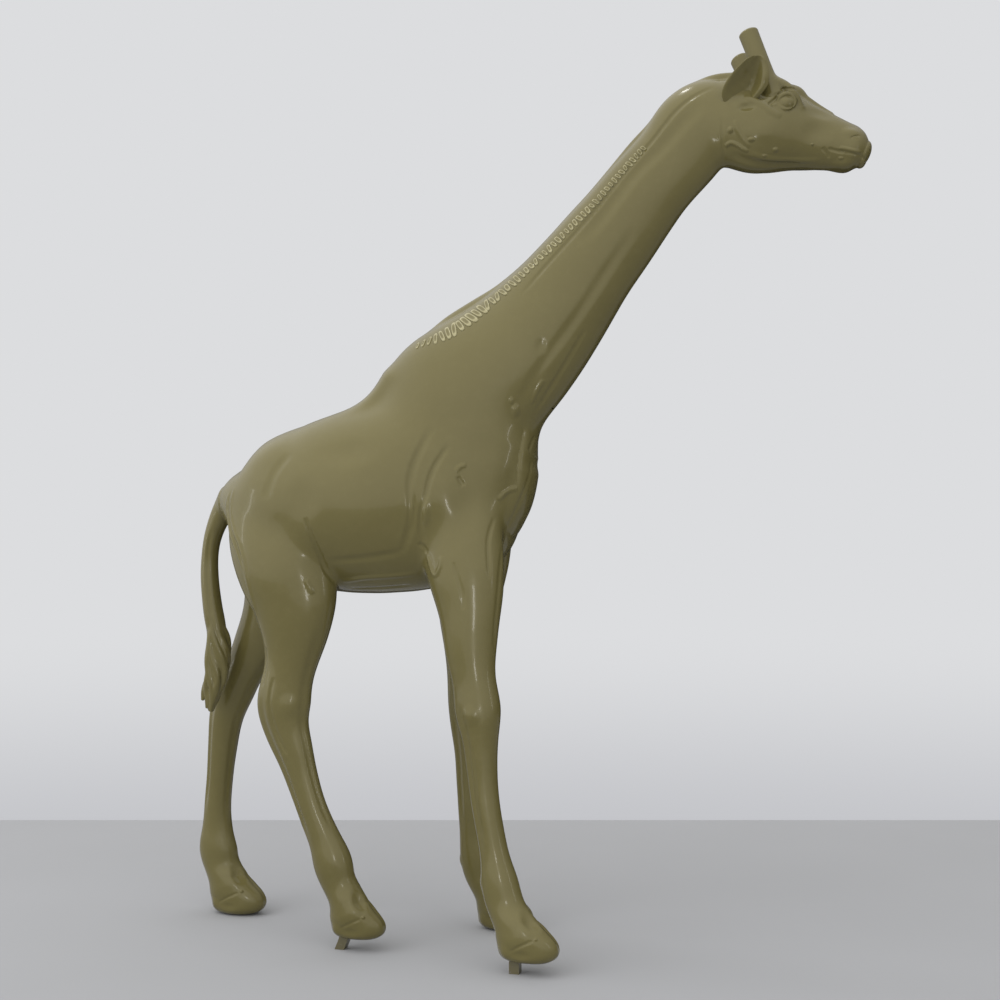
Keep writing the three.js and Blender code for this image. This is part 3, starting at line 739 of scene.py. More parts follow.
def crested_body(points):
    """The bare body with the mane's crest on it."""
    return melt(bare_body(points), limb_distance(MANE, points), REACH["crest"])


BODY_CLAY += LEG_CLAY + sum(HOOF_CLAY.values(), [])
BODY_CLAY = [detail.laid(bare_body) for detail in BODY_CLAY]


def skin(points, with_tail=False):
    """Distance to the statue's skin, in millimetres, for rows of points."""
    result = crested_body(points)
    if with_tail:
        result = melt(result, limb_distance(TAIL, points), REACH["tail"])
    result = add_clay(result, points, BODY_CLAY)
    near = np.all((points > HEAD_LOW) & (points < HEAD_HIGH), axis=1)
    if near.any():
        head = head_distance(into_head(points[near]))
        result[near] = melt(result[near], head, REACH["head"])
    return result + unevenness(points)


def rear_skin(points):
    """The skin with the tail melted on."""
    return skin(points, with_tail=True)


def tail_skin(points):
    """The tail and its locks, melted with a short reach so the grooves between them stay deep.
    Where the tail springs from the rump it is the whole rear of the statue instead."""
    result = melt(limb_distance(TAIL, points), limb_distance(TUFT_CORE, points), REACH["tuft"])
    for part in LOCKS:
        result = melt(result, limb_distance(part, points), REACH["lock"])
    result += unevenness(points)
    high = points[:, 2] > TAIL_ALONE
    if high.any():
        result[high] = rear_skin(points[high])
    return result


probe = np.array([[-400.0, 0, 1200], [-400, 0, 2000], [700, 0, 2170]])
print("distances inside the trunk, above it and inside the head:", skin(probe).round())

# %% [markdown]
# ## From distance to faces
# Voxel tools in Blender would work on this function too, but they leave steps in a gloss surface.
# Here a grid finds where the distance changes sign, one vertex is placed in each such cell, and
# the vertices then slide down the slope of the function until they lie on the skin exactly. The
# slope at each vertex is also its normal, so the lacquer's reflections are as smooth as the maths.


# %% Grid and faces
BLOCK = 8  # grid points along each side of a block
STEEPEST = 1.35  # the most that the field changes in a millimetre
CLAY_HEIGHT = 9  # millimetres that clay can stand off the plain shape


def lattice(*counts):
    """Every whole-number point of a box that starts at nought, one to a row."""
    return np.stack(np.meshgrid(*map(np.arange, counts), indexing="ij"), -1).reshape(-1, 3)


def sample_grid(field, low, high, pitch):
    """The field on a regular grid. Blocks whose middle is far from the skin are filled with the
    middle's value, so only a band around the skin is worked out point by point."""
    counts = np.ceil((np.array(high) - low) / (BLOCK * pitch)).astype(int)
    block = lattice(*counts)
    half = (BLOCK - 1) / 2
    value = evaluate(field, np.array(low) + (block * BLOCK + half) * pitch)
    grid = np.repeat(value, BLOCK**3).reshape(*counts, BLOCK, BLOCK, BLOCK)
    near = block[np.abs(value) < half * pitch * math.sqrt(3) * STEEPEST + CLAY_HEIGHT]
    points = near[:, None] * BLOCK + lattice(BLOCK, BLOCK, BLOCK)[None]
    points = (np.array(low) + points * pitch).reshape(-1, 3)
    grid[tuple(near.T)] = evaluate(field, points).reshape(-1, BLOCK, BLOCK, BLOCK)
    return grid.transpose(0, 3, 1, 4, 2, 5).reshape(*(counts * BLOCK))


def skin_net(field, low, high, pitch):
    """Vertices and triangles of the skin inside a box. A cell's vertex is the mean of the points
    where the skin crosses the cell's edges, and each crossed edge of the grid gives one face
    that joins the four cells around it."""
    low = np.array(low, float)
    grid = sample_grid(field, low, high, pitch)
    corner = lattice(2, 2, 2)
    cells = np.array(grid.shape) - 1
    windows = (tuple(slice(c, c + n) for c, n in zip(shift, cells)) for shift in corner)
    count = sum((grid[window] < 0).astype(np.int8) for window in windows)
    active = np.argwhere((count > 0) & (count < 8))
    values = np.stack([grid[tuple((active + shift).T)] for shift in corner], 1)
    total, crossings = np.zeros((len(active), 3)), np.zeros(len(active))
    for i, a in enumerate(corner):
        for j, b in enumerate(corner):
            if np.abs(a - b).sum() == 1 and i < j:
                crossed = (values[:, i] < 0) != (values[:, j] < 0)
                drop = np.where(crossed, values[:, i] - values[:, j], 1)
                share = values[:, i] / drop
                total += crossed[:, None] * (a + share[:, None] * (b - a))
                crossings += crossed
    vertices = low + (active + total / crossings[:, None]) * pitch
    number = np.full(cells, -1)
    number[tuple(active.T)] = np.arange(len(active))
    faces = []
    whole = np.eye(3, dtype=int)
    for axis in range(3):
        start, stop = [slice(1, -1)] * 3, [slice(1, -1)] * 3
        start[axis], stop[axis] = slice(0, -1), slice(1, None)
        first, second = grid[tuple(start)] < 0, grid[tuple(stop)] < 0
        edge = np.argwhere(first != second)
        outward = first[tuple(edge.T)]
        edge = edge + (1 - whole[axis])
        step_b, step_c = whole[(axis + 1) % 3], whole[(axis + 2) % 3]
        around = [edge - step_b - step_c, edge - step_c, edge, edge - step_b]
        quad = np.stack([number[tuple(np.minimum(cell, cells - 1).T)] for cell in around], 1)
        quad[~outward] = quad[~outward][:, ::-1]
        faces.append(quad[(quad >= 0).all(1)])
    quads = np.concatenate(faces)
    vertices = settle(field, vertices, 1)
    vertices = even_out(field, vertices, quads)
    return vertices, split_quads(vertices, quads)


def even_out(field, vertices, quads, rounds=3):
    """Moves each vertex half way to the mean of its neighbours, but only along the skin. The
    skin's normal there is the sum of the cross products of the faces' diagonals."""
    a = quads.ravel()
    b = np.roll(quads, -1, axis=1).ravel()
    degree = np.maximum(np.bincount(a, minlength=len(vertices)), 1)[:, None]

    def gathered(rows):
        return np.stack([np.bincount(a, rows[:, k], len(vertices)) for k in range(3)], 1)

    for _ in range(rounds):
        diagonals = vertices[quads[:, [2, 3]]] - vertices[quads[:, [0, 1]]]
        normal = gathered(np.repeat(np.cross(diagonals[:, 0], diagonals[:, 1]), 4, axis=0))
        normal = unit(normal)
        move = gathered(vertices[b]) / degree - vertices
        move -= (move * normal).sum(1)[:, None] * normal
        vertices = vertices + 0.5 * move
    return settle(field, vertices, 2)


def split_quads(vertices, quads):
    """Two triangles from each quad, along its shorter diagonal."""
    first = np.linalg.norm(vertices[quads[:, 0]] - vertices[quads[:, 2]], axis=1)
    second = np.linalg.norm(vertices[quads[:, 1]] - vertices[quads[:, 3]], axis=1)
    turned = np.where((second < first)[:, None], np.roll(quads, -1, axis=1), quads)
    return np.concatenate([turned[:, [0, 1, 2]], turned[:, [0, 2, 3]]])


# %% [markdown]
# ## Cutting the skin into its mouldings
# The statue is moulded as halves that meet on its middle plane, and as neck, head and legs that
# socket together. A moulding is the skin on one side of some flat cuts, with a second skin 5 mm
# inside it and a flat flange between the two round every edge.


# %% Cuts, walls and flanges
NEAR_CUT = 0.3  # of the pitch: a vertex this close to a cut slides onto it
ON_CUT = 0.02  # millimetres
WALL_ROUNDS = 6  # of averaging the direction in which a wall is thick


class Cut:
    """A flat cut: points on the side that the normal points to are kept. near limits the kept side
    to a distance from the cut's centre, so that it takes off only one part, such as a horn."""

    def __init__(self, centre, normal, near=math.inf, sign=1):
        self.centre = np.array(centre, float)
        self.normal = np.array(normal, float) / np.linalg.norm(normal)
        self.near = near
        self.sign = sign

    def side(self, points):
        height = (points - self.centre) @ self.normal
        spread = points - self.centre - height[:, None] * self.normal
        return self.sign * np.minimum(height, self.near - np.linalg.norm(spread, axis=1))

    def other(self):
        return Cut(self.centre, self.normal, self.near, -self.sign)


def trim(field, vertices, triangles, cut, pitch):
    """Keeps the triangles on one side of a cut. Vertices close to it slide onto it, edges that
    still cross it get a new vertex there, and a corner that is cut off leaves three or four."""
    side = cut.side(vertices)
    close = np.abs(side) < NEAR_CUT * pitch
    if close.any():
        vertices = vertices.copy()
        vertices[close] -= cut.sign * side[close][:, None] * cut.normal
        vertices[close] = settle(field, vertices[close], 2, [cut.normal])
        side[close] = 0
    corners = side[triangles]
    whole = (corners >= 0).all(1) & (corners > 0).any(1)
    mixed = (corners > 0).any(1) & (corners < 0).any(1)
    crossing, kept = triangles[mixed], corners[mixed]
    following, kept_after = np.roll(crossing, -1, axis=1), np.roll(kept, -1, axis=1)
    crossed = kept * kept_after < 0
    edges = np.sort(np.stack([crossing[crossed], following[crossed]], 1), axis=1)
    unique, back = np.unique(edges, axis=0, return_inverse=True)
    from_a, from_b = side[unique[:, 0]], side[unique[:, 1]]
    share = (from_a / (from_a - from_b))[:, None] if len(unique) else np.zeros((0, 1))
    fresh = vertices[unique[:, 0]] * (1 - share) + vertices[unique[:, 1]] * share
    fresh = settle(field, fresh, 2, [cut.normal])
    ring = np.full((len(crossing), 6), -1)
    ring[:, 0::2] = np.where(kept >= 0, crossing, -1)
    new = np.full(crossing.shape, -1)
    new[crossed] = len(vertices) + back.ravel()
    ring[:, 1::2] = new
    order = np.argsort(ring < 0, axis=1, kind="stable")
    ring = np.take_along_axis(ring, order, axis=1)
    fourth = ring[ring[:, 3] >= 0][:, [0, 2, 3]]
    triangles = np.concatenate([triangles[whole], ring[:, [0, 1, 2]], fourth])
    vertices = np.concatenate([vertices, fresh])
    used, triangles = np.unique(triangles, return_inverse=True)
    return vertices[used], triangles.reshape(-1, 3)


def open_edges(triangles):
    """The edges that only one triangle uses, in that triangle's direction."""
    edges = np.concatenate([triangles[:, [0, 1]], triangles[:, [1, 2]], triangles[:, [2, 0]]])
    _, back, count = np.unique(np.sort(edges, axis=1), axis=0,
                               return_inverse=True, return_counts=True)
    return edges[count[back.ravel()] == 1]


def inner_wall(vertices, normals, triangles, cuts, wall):
    """The skin again, a wall's thickness further in along normals averaged over neighbours.
    A vertex on a cut stays on it."""
    a = triangles.ravel()
    b = np.roll(triangles, -1, axis=1).ravel()
    degree = np.maximum(np.bincount(a, minlength=len(vertices)), 1)[:, None]
    inward = -normals
    for _ in range(WALL_ROUNDS):
        total = np.stack([np.bincount(a, inward[b, k], len(vertices)) for k in range(3)], 1)
        inward = unit(inward + total / degree)
    for _ in range(3):  # more than once, because cuts can meet in a corner
        for cut in cuts:
            held = np.abs(cut.side(vertices)) < ON_CUT
            inward[held] -= (inward[held] @ cut.normal)[:, None] * cut.normal
    return vertices + wall * inward


# %% Making a piece of the statue
skin_pieces = {}


def make_mesh(name, vertices, faces, face_normals):
    """A mesh from millimetre vertices, triangles and a normal for every corner of every face."""
    mesh = bpy.data.meshes.new(name)
    mesh.vertices.add(len(vertices))
    mesh.vertices.foreach_set("co", (vertices * MM).astype(np.float32).ravel())
    mesh.loops.add(faces.size)
    mesh.loops.foreach_set("vertex_index", faces.astype(np.int32).ravel())
    mesh.polygons.add(len(faces))
    mesh.polygons.foreach_set("loop_start", np.arange(0, faces.size, 3, dtype=np.int32))
    mesh.update(calc_edges=True)
    mesh.validate()
    mesh.shade_smooth()
    if face_normals is not None and len(mesh.loops) == faces.size:
        mesh.normals_split_custom_set(face_normals.reshape(-1, 3))
    piece = bpy.data.objects.new(name, mesh)
    bpy.context.scene.collection.objects.link(piece)
    return piece


def moulding(name, node, field, net, cuts, pitch, wall=5.0):
    """Trims the net with the cuts, then closes it: with an inner wall and flanges where a wall is
    given, and otherwise with a flat cap over its one opening."""
    vertices, triangles = net
    for cut in cuts:
        vertices, triangles = trim(field, vertices, triangles, cut, pitch)
    normals = unit(slope(field, vertices)[1])
    rim = open_edges(triangles)
    corner_normals = normals[triangles]
    if wall:
        inner = inner_wall(vertices, normals, triangles, cuts, wall)
        shift = len(vertices)
        flange = np.concatenate([
            np.stack([rim[:, 1], rim[:, 0], rim[:, 0] + shift], 1),
            np.stack([rim[:, 1], rim[:, 0] + shift, rim[:, 1] + shift], 1),
        ])
        back = triangles[:, ::-1] + shift
        vertices = np.concatenate([vertices, inner])
        faces = np.concatenate([triangles, back, flange])
        inside = -normals[triangles[:, ::-1]]
    else:
        middle = vertices[rim[:, 0]].mean(0)
        flange = np.stack([rim[:, 1], rim[:, 0], np.full(len(rim), len(vertices))], 1)
        vertices = np.concatenate([vertices, [middle]])
        faces = np.concatenate([triangles, flange])
        inside = np.zeros((0, 3, 3))
    flat = np.cross(vertices[flange[:, 1]] - vertices[flange[:, 0]],
                    vertices[flange[:, 2]] - vertices[flange[:, 0]])
    flat = np.repeat(unit(flat)[:, None], 3, axis=1)
    corners = np.concatenate([corner_normals, inside, flat])
    piece = make_mesh(name, vertices, faces, corners)
    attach(piece, "root")
    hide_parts(node)
    skin_pieces[name] = piece
    print(name, "has", len(faces), "triangles and", len(rim), "edges on its cuts")
    return piece


# %% The cuts
MEDIAN = Cut([0, 0, 0], [0, 1, 0])
NECK_JOINT = Cut([2, 0, 1570], [0.66, 0, 0.75])
HEAD_JOINT = Cut([547, 0, 2150], [0.9, 0, 0.43])
LEG_JOINT = Cut([0, 0, 905], [0, 0, 1])
TAIL_JOINT = Cut([-850, 0, 1200], [1, 0, 0])
TAIL_ROOT = Cut([-850, 0, 1200], [1, 0, 0], near=1200 - TAIL_ALONE)
TUFT_JOINT = Cut([0, 0, 832], [0, 0, 1])
HEAD_MEDIAN = Cut(HEAD_PIVOT, HEAD_TURN @ ACROSS)
HORN_CUT_SHARE = 0.47  # how far up the horn its joint is
HORN_CUTS = {}
for name, part in HORNS.items():
    foot, top = part.curve.rows[0, :3], part.curve.rows[-1, :3]
    centre = out_of_head(foot + HORN_CUT_SHARE * (top - foot))
    HORN_CUTS[name] = Cut(centre, HEAD_TURN @ (top - foot), near=46)
print("joints: median, neck, head, legs, tail, tuft and", len(HORN_CUTS), "horns")

# %% Trunk and neck halves
MIDDLE_HALVES = [  # piece, node, field, box, cuts and pitch
    ("trunk_skin_", "torso_shell_", rear_skin, ([-890, -232, 870], [150, 232, 1800]),
     [NECK_JOINT.other(), LEG_JOINT, TAIL_JOINT], 5.2 * COARSE),
    ("neck_skin_", "neck_shell_", skin, ([-270, -190, 1400], [680, 190, 2380]),
     [NECK_JOINT, HEAD_JOINT.other()], 4.2 * COARSE),
]
for piece, node, field, box, cuts, pitch in MIDDLE_HALVES:
    net = skin_net(field, *box, pitch)
    for hand, half in (("left", MEDIAN), ("right", MEDIAN.other())):
        moulding(piece + hand, node + hand, field, net, [half] + cuts, pitch)

# %% Legs
pitch = 4.0 * COARSE
leg_boxes = {
    "front_leg_right": ([-200, -250, -8], [230, -20, 930]),
    "front_leg_left": ([-230, 20, -8], [60, 250, 930]),
    "hind_leg_right": ([-730, -210, -8], [-260, -20, 930]),
    "hind_leg_left": ([-1000, 20, -8], [-620, 210, 930]),
}
for name, (low, high) in leg_boxes.items():
    end, hand = name.split("_leg_")
    net = skin_net(skin, low, high, pitch)
    moulding(f"{name}_skin", f"{end}_leg_shell_{hand}", skin, net, [LEG_JOINT.other()], pitch)

# %% Head halves and horns
pitch = 2.1 * COARSE
net = skin_net(skin, [470, -130, 1990], [1010, 250, 2440], pitch)
for name, half in (("left", HEAD_MEDIAN), ("right", HEAD_MEDIAN.other())):
    moulding("head_skin_" + name, "head_shell_" + name, skin, net,
             [HEAD_JOINT, half, HORN_CUTS[name].other()], pitch, wall=4.0)
    moulding("horn_" + name, "ossicone_" + name, skin, net, [HORN_CUTS[name]], pitch, wall=None)

# %% Tail and tuft
pitch = 3.0 * COARSE
net = skin_net(tail_skin, [-940, -40, 800], [-820, 80, 1290], pitch)
moulding("tail_skin", "tail", tail_skin, net, [TAIL_ROOT.other(), TUFT_JOINT], pitch, wall=4.0)
pitch = 1.8 * COARSE
net = skin_net(tail_skin, [-950, -40, 590], [-820, 84, 860], pitch)
moulding("tuft_locks", "tail_tuft", tail_skin, net, [TUFT_JOINT.other()], pitch, wall=None)

# %% [markdown]
# ## Ears
# An ear is cast solid and bonded on. It is a leaf cupped towards the side, with a thin rear edge
# and a fat rolled lobe at the front. A leaf is easy to write as sections stacked up its height,
# so it is a plain grid of points rather than part of the skin.

# %% Cupped ears
EAR_ROWS = Spline([  # z, rear edge x, front edge x, edge y, depth of the cup, roll of the lobe
    [2196, 618, 668, -58, 4, 2], [2210, 606, 682, -72, 12, 4], [2226, 597, 700, -87, 24, 8],
    [2244, 601, 714, -98, 31, 11], [2262, 613, 716, -106, 31, 11.5], [2278, 627, 714, -112, 26, 9],
    [2292, 642, 711, -117, 18, 6.5], [2303, 656, 706, -121, 10, 4], [2311, 673, 697, -123, 1, 0.5],
])


def ring_faces(rings, around, first=0):
    """Two triangles in each gap between neighbours on neighbouring rings of points."""
    a = first + np.arange((rings - 1) * around).reshape(-1, around)
    b = np.roll(a, -1, axis=1)
    lower, upper = np.stack([a, b, b + around], -1), np.stack([a, b + around, a + around], -1)
    return np.concatenate([lower, upper]).reshape(-1, 3)


def fan(ring, middle):
    """Triangles from a middle point to each edge of a ring."""
    return np.stack([np.full_like(ring, middle), ring, np.roll(ring, -1)], 1)


def cupped_ear(hand, rows=44, around=64):
    """Sections stacked up the leaf. Each runs from the rear edge to the front edge and back, half
    a thickness to either side of a bowed middle line. The bow is the cup's depth times the sine
    of the share across, and the thickness swells into a roll near the front edge."""
    travel = np.linspace(0, EAR_ROWS.length, rows)
    z, rear, front, edge, cup, roll = EAR_ROWS.at(travel)[0].T[:, :, None]
    angle = np.linspace(0, 2 * math.pi, around, endpoint=False)[None]
    across = 0.5 - 0.5 * np.cos(angle)
    face = np.sign(np.sin(angle)) * np.abs(np.sin(angle)) ** 0.6
    bow = cup * np.sin(math.pi * across**1.25)
    lobe = np.exp(-((across - 0.83) / 0.14) ** 2)
    rim = np.exp(-((across - 0.07) / 0.07) ** 2)
    folds = 0.9 * np.sin(16 * across + 0.09 * z) * np.sin(0.21 * z) * window(across, 0.15, 0.65)
    thick = 2.4 + roll * lobe + 0.34 * roll * rim + folds
    x = rear + (front - rear) * across
    y = edge + bow + thick * face - 0.9 * roll * np.exp(-((across - 0.88) / 0.12) ** 2)
    grid = np.stack(np.broadcast_arrays(x, y * -hand, z + 0 * x), -1)
    points = grid.reshape(-1, 3)
    ends = [grid[0].mean(0), grid[-1].mean(0) + [0, 0, 1.5]]
    ring = np.arange(around)
    low = fan(ring, len(points))[:, [0, 2, 1]]
    top = fan(ring + (rows - 1) * around, len(points) + 1)
    faces = np.concatenate([ring_faces(rows, around), low, top])
    points = out_of_head(np.concatenate([points, ends]))
    first = points[faces[:, 0]]
    volume = (first * np.cross(points[faces[:, 1]], points[faces[:, 2]])).sum()
    return points, faces if volume > 0 else faces[:, ::-1]


for hand, name in ((1, "left"), (-1, "right")):
    points, faces = cupped_ear(hand)
    ear = make_mesh("ear_leaf_" + name, points, faces, None)
    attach(ear, "root")
    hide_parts("ear_" + name)
    skin_pieces[ear.name] = ear
    print(ear.name, "has", len(faces), "triangles")

# %% [markdown]
# ## Pads under the crest
# A row of small pads stands for the tufts of the mane. They are far finer than the net of the
# neck, so they are laid on it as one more grid of points: a rounded slab, repeated along a curve
# on the skin, longest over the withers and smaller up the neck, with a little unevenness of hand.

# %% Mane pads
PAD_PATH = np.array([
    (-226, -72, 1617), (-180, -86, 1632), (-133, -91, 1651), (-87, -84, 1680), (-42, -74, 1715),
    (4, -69, 1750), (67, -64, 1800), (136, -62, 1858), (204, -60, 1921), (286, -58, 1998),
    (353, -55, 2072), (407, -56, 2125),
], float)
PAD_COUNT = 50
PAD_AROUND = 24
PAD_RINGS = np.array([0.3, 0.55, 0.72, 0.84, 0.92, 0.975, 1.0])
PAD_FOOT = 1.02  # how far out the foot is
PAD_POWER = 3.2  # of the rounded-square outline: 2 is an oval
PAD_SUNK = 3.0  # millimetres that a pad's foot is set into the skin
UNEVEN = 0.16  # share by which a pad's length and width vary


def mane_pads(hand, rng):
    """Slabs with a rounded-square outline, |u|^3.2 + |v|^3.2 = 1 in units of the half sizes. The
    height over the skin is the root of one less the fifth power of the share of the way out,
    with a dimple taken off in the middle. Every point is settled on the skin, then lifted.
    The last value returned is 1 along a pad's rim and 0 elsewhere, where the finish paints a highlight."""
    path = Spline(PAD_PATH * [1, hand, 1])
    share = (np.arange(PAD_COUNT) + 0.5) / PAD_COUNT
    travel = path.length * (19 * share - 3 * share**2) / 16
    centre, along, _ = path.at(travel)
    along = unit(along)
    centre = settle(skin, centre, 3)
    across = unit(np.cross(slope(skin, centre)[1], along))
    uneven = rng.uniform(-1, 1, (PAD_COUNT, 3))
    long_ = np.interp(share, [0, 0.08, 0.17, 0.3, 0.6, 1], [12, 22, 29, 20, 13.5, 10])
    long_ *= 1 + UNEVEN * uneven[:, 0]
    wide = np.interp(share, [0, 0.17, 0.4, 1], [4.8, 8.0, 5.6, 4.4])
    wide *= 1 + UNEVEN * uneven[:, 1]
    high = np.interp(share, [0, 0.17, 1], [3, 4.6, 3.4])
    turn = 2 * math.pi * np.arange(PAD_AROUND) / PAD_AROUND
    u, v = (np.sign(wave) * np.abs(wave) ** (2 / PAD_POWER) for wave in (np.cos(turn), np.sin(turn)))
    rings = np.append(PAD_RINGS, PAD_FOOT)
    lift = np.sqrt(np.clip(1 - rings**5, 0, 1)) * (1 - 0.4 * np.clip(1 - rings**2, 0, 1) ** 2)
    u = np.concatenate([[0], np.outer(rings, u).ravel(), [0]])
    v = np.concatenate([[0], np.outer(rings, v).ravel(), [0]])
    lift = np.concatenate([[0.6], np.repeat(lift, PAD_AROUND), [0]])
    foot = np.zeros(len(u), bool)
    foot[-PAD_AROUND - 1:] = True
    lean = 0.25 * uneven[:, 2:3] * v * long_[:, None]
    flat = (centre[:, None] + (u * wide[:, None] + lean)[..., None] * along[:, None]
            + (v * long_[:, None])[..., None] * across[:, None]).reshape(-1, 3)
    flat = settle(skin, flat, 3)
    up = unit(slope(skin, flat)[1])
    height = np.where(foot, -PAD_SUNK, lift * high[:, None]).ravel()
    ring = 1 + np.arange(PAD_AROUND)
    walls = ring_faces(len(rings), PAD_AROUND, first=1)[:, ::-1]
    low = fan(ring + (len(rings) - 1) * PAD_AROUND, len(u) - 1)[:, [0, 2, 1]]
    one = np.concatenate([walls, fan(ring, 0), low])
    faces = (np.arange(PAD_COUNT)[:, None, None] * len(u) + one).reshape(-1, 3)
    # mask of the painted highlight along each pad's rim
    edge = np.interp(rings, [0.3, 0.55, 0.72, 0.975, 1.0], [0, 0.15, 1, 1, 0])
    edge = np.tile(np.concatenate([[0], np.repeat(edge, PAD_AROUND), [0]]), PAD_COUNT)
    return flat + height[:, None] * up, faces, edge


for hand, name in ((-1, "left"), (1, "right")):
    points, faces, edge = mane_pads(hand, np.random.default_rng(11))
    pads = make_mesh("mane_pads_" + name, points, faces, None)
    # the rim mask that the finish uses for its painted highlight
    pads.data.attributes.new("edge", "FLOAT", "POINT").data.foreach_set("value", edge)
    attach(pads, "root")
    skin_pieces[pads.name] = pads
    print(pads.name, "has", len(faces), "triangles")

# %% [markdown]
# ## Finishes written as sums
# A finish is a network of nodes. Wiring dozens of Math nodes by hand hides the idea, so a socket
# is wrapped in a small class here, and adding or multiplying two of them adds the node.


# %% A socket that can be added and multiplied
class Value:
    """A number that varies over a surface. Each operator adds one Math node."""

    def __init__(self, graph, socket):
        self.graph = graph
        self.socket = socket

    def maths(self, operation, first, second):
        node = self.graph.add("Math", {"operation": operation}, {0: first, 1: second})
        return Value(self.graph, node.outputs[0])

    def __add__(self, other):
        return self.maths("ADD", self, other)

    def __sub__(self, other):
        return self.maths("SUBTRACT", self, other)

    def __rsub__(self, other):
        return self.maths("SUBTRACT", other, self)

    def __mul__(self, other):
        return self.maths("MULTIPLY", self, other)

    __radd__ = __add__
    __rmul__ = __mul__

    def eased(self, low, high):
        """0 below low, 1 above high, a smooth step between."""
        settings = {"interpolation_type": "SMOOTHSTEP"}
        sockets = {"Value": self, "From Min": low, "From Max": high}
        return Value(self.graph, self.graph.add("MapRange", settings, sockets).outputs[0])


class Graph:
    """Nodes added to a material or world one at a time: kind, then settings, then inputs."""

    def __init__(self, owner):
        owner.use_nodes = True
        self.nodes, self.links = owner.node_tree.nodes, owner.node_tree.links

    def set(self, node, sockets):
        for key, value in sockets.items():
            target = node.inputs[key.replace("_", " ") if isinstance(key, str) else key]
            if isinstance(value, Value):
                value = value.socket
            if isinstance(value, bpy.types.NodeSocket):
                self.links.new(value, target)
            else:
                target.default_value = value

    def add(self, kind, settings=None, sockets=None):
        node = self.nodes.new("ShaderNode" + kind)
        for key, value in (settings or {}).items():
            setattr(node, key, value)
        self.set(node, sockets or {})
        return node

    def blend(self, share, first, second):
        """A colour between two: share 0 gives the first."""
        node = self.add("Mix", {"data_type": "RGBA"}, {0: share, 6: first, 7: second})
        return node.outputs[2]


class Finish(Graph):
    """A material: its constants, then what varies over it."""

    def __init__(self, name, **constants):
        self.material = bpy.data.materials.new(name)
        super().__init__(self.material)
        self.shader = self.nodes["Principled BSDF"]
        self.place = self.add("TexCoord").outputs["Object"]
        self.set(self.shader, constants)

    def noise(self, scale, detail=2.0, roughness=0.5, stretch=(1, 1, 1)):
        """Cloudy numbers, mostly from 0.3 to 0.7; scale is in clouds per metre."""
        place = self.place
        if stretch != (1, 1, 1):
            node = self.add("VectorMath", {"operation": "MULTIPLY"}, {0: place, 1: stretch})
            place = node.outputs[0]
        sockets = {"Vector": place, "Scale": scale, "Detail": detail, "Roughness": roughness}
        return Value(self, self.add("TexNoise", None, sockets).outputs["Fac"])

    def wear(self, colour, roughness, height, depth, **more):
        """Feeds the shader, with the height through a Bump node of that depth in metres."""
        bump = self.add("Bump", None, {"Height": height, "Distance": depth, "Strength": 1.0})
        varying = {"Base Color": colour, "Roughness": roughness, "Normal": bump.outputs[0]}
        self.set(self.shader, {**varying, **more})
        return self.material


# %% [markdown]
# ## Gloss lacquer
# The whole skin is sprayed one olive. Close to, the colour drifts a little with the thickness of
# the coat, and the gloss shows two faults of every sprayed finish: orange peel, a ripple of a few
# millimetres, and the longer print of the glass cloth and filler below it. The pads have a finish
# of their own, with a painted highlight: a paler olive along their rims stands in for their glints.

# %% Olive lacquer
LACQUER = {
    "IOR": 1.38, "Coat Weight": 0.3, "Coat Roughness": 0.03, "Coat IOR": 1.4,
    "Specular Tint": (1.0, 0.96, 0.82, 1),
}
OLIVE_FULL, OLIVE_THIN = (0.115, 0.099, 0.035, 1), (0.129, 0.112, 0.042, 1)
# the last colour is a painted highlight, a paler olive for the glints along the pads' rims
OLIVE_SPECK, OLIVE_PAINTED_HIGHLIGHT = (0.17, 0.15, 0.065, 1), (0.42, 0.39, 0.235, 1)


def olive_lacquer(name, painted_highlight_edges=False):
    """The sprayed skin. Optionally with a painted highlight: a paler olive where the "edge" value of
    the mesh is high, standing in for the glints that the gloss catches on the pads' sharp rims."""
    lacquer = Finish(name, **LACQUER)
    drift = lacquer.noise(2.2, 3.0)
    speck = lacquer.noise(46.0, 3.0, 0.6)
    film = lacquer.blend(drift.eased(0.3, 0.7), OLIVE_FULL, OLIVE_THIN)
    olive = lacquer.blend(speck.eased(0.45, 0.75) * 0.1, film, OLIVE_SPECK)
    if painted_highlight_edges:
        # painted highlight: the pads' rims are mixed towards a paler olive in place of glints from the lamps
        edge = Value(lacquer, lacquer.add("Attribute", {"attribute_name": "edge"}).outputs["Fac"])
        painted_highlight = edge * (0.25 + 0.9 * lacquer.noise(30.0, 2.0))
        olive = lacquer.blend(painted_highlight, olive, OLIVE_PAINTED_HIGHLIGHT)
    peel = lacquer.noise(260.0, 1.0)
    print_through = lacquer.noise(11.0, 2.0)
    return lacquer.wear(olive, 0.16 + 0.12 * speck, peel * 0.04 + print_through, 0.0010)


skin_lacquer = olive_lacquer("olive_lacquer")
# the pads' material carries the painted highlight on their rims
pad_lacquer = olive_lacquer("rubbed_lacquer", painted_highlight_edges=True)
for name, piece in skin_pieces.items():
    piece.data.materials.append(pad_lacquer if name.startswith("mane_pads") else skin_lacquer)
print("lacquer nodes:", len(skin_lacquer.node_tree.nodes), "and", len(pad_lacquer.node_tree.nodes))

# %% [markdown]
# ## Steel
# The frame inside is welded mild steel, left in its blue-grey mill scale with bright brushed
# bands. The two lugs under the hooves are sprayed with the statue, and worn at their edges.

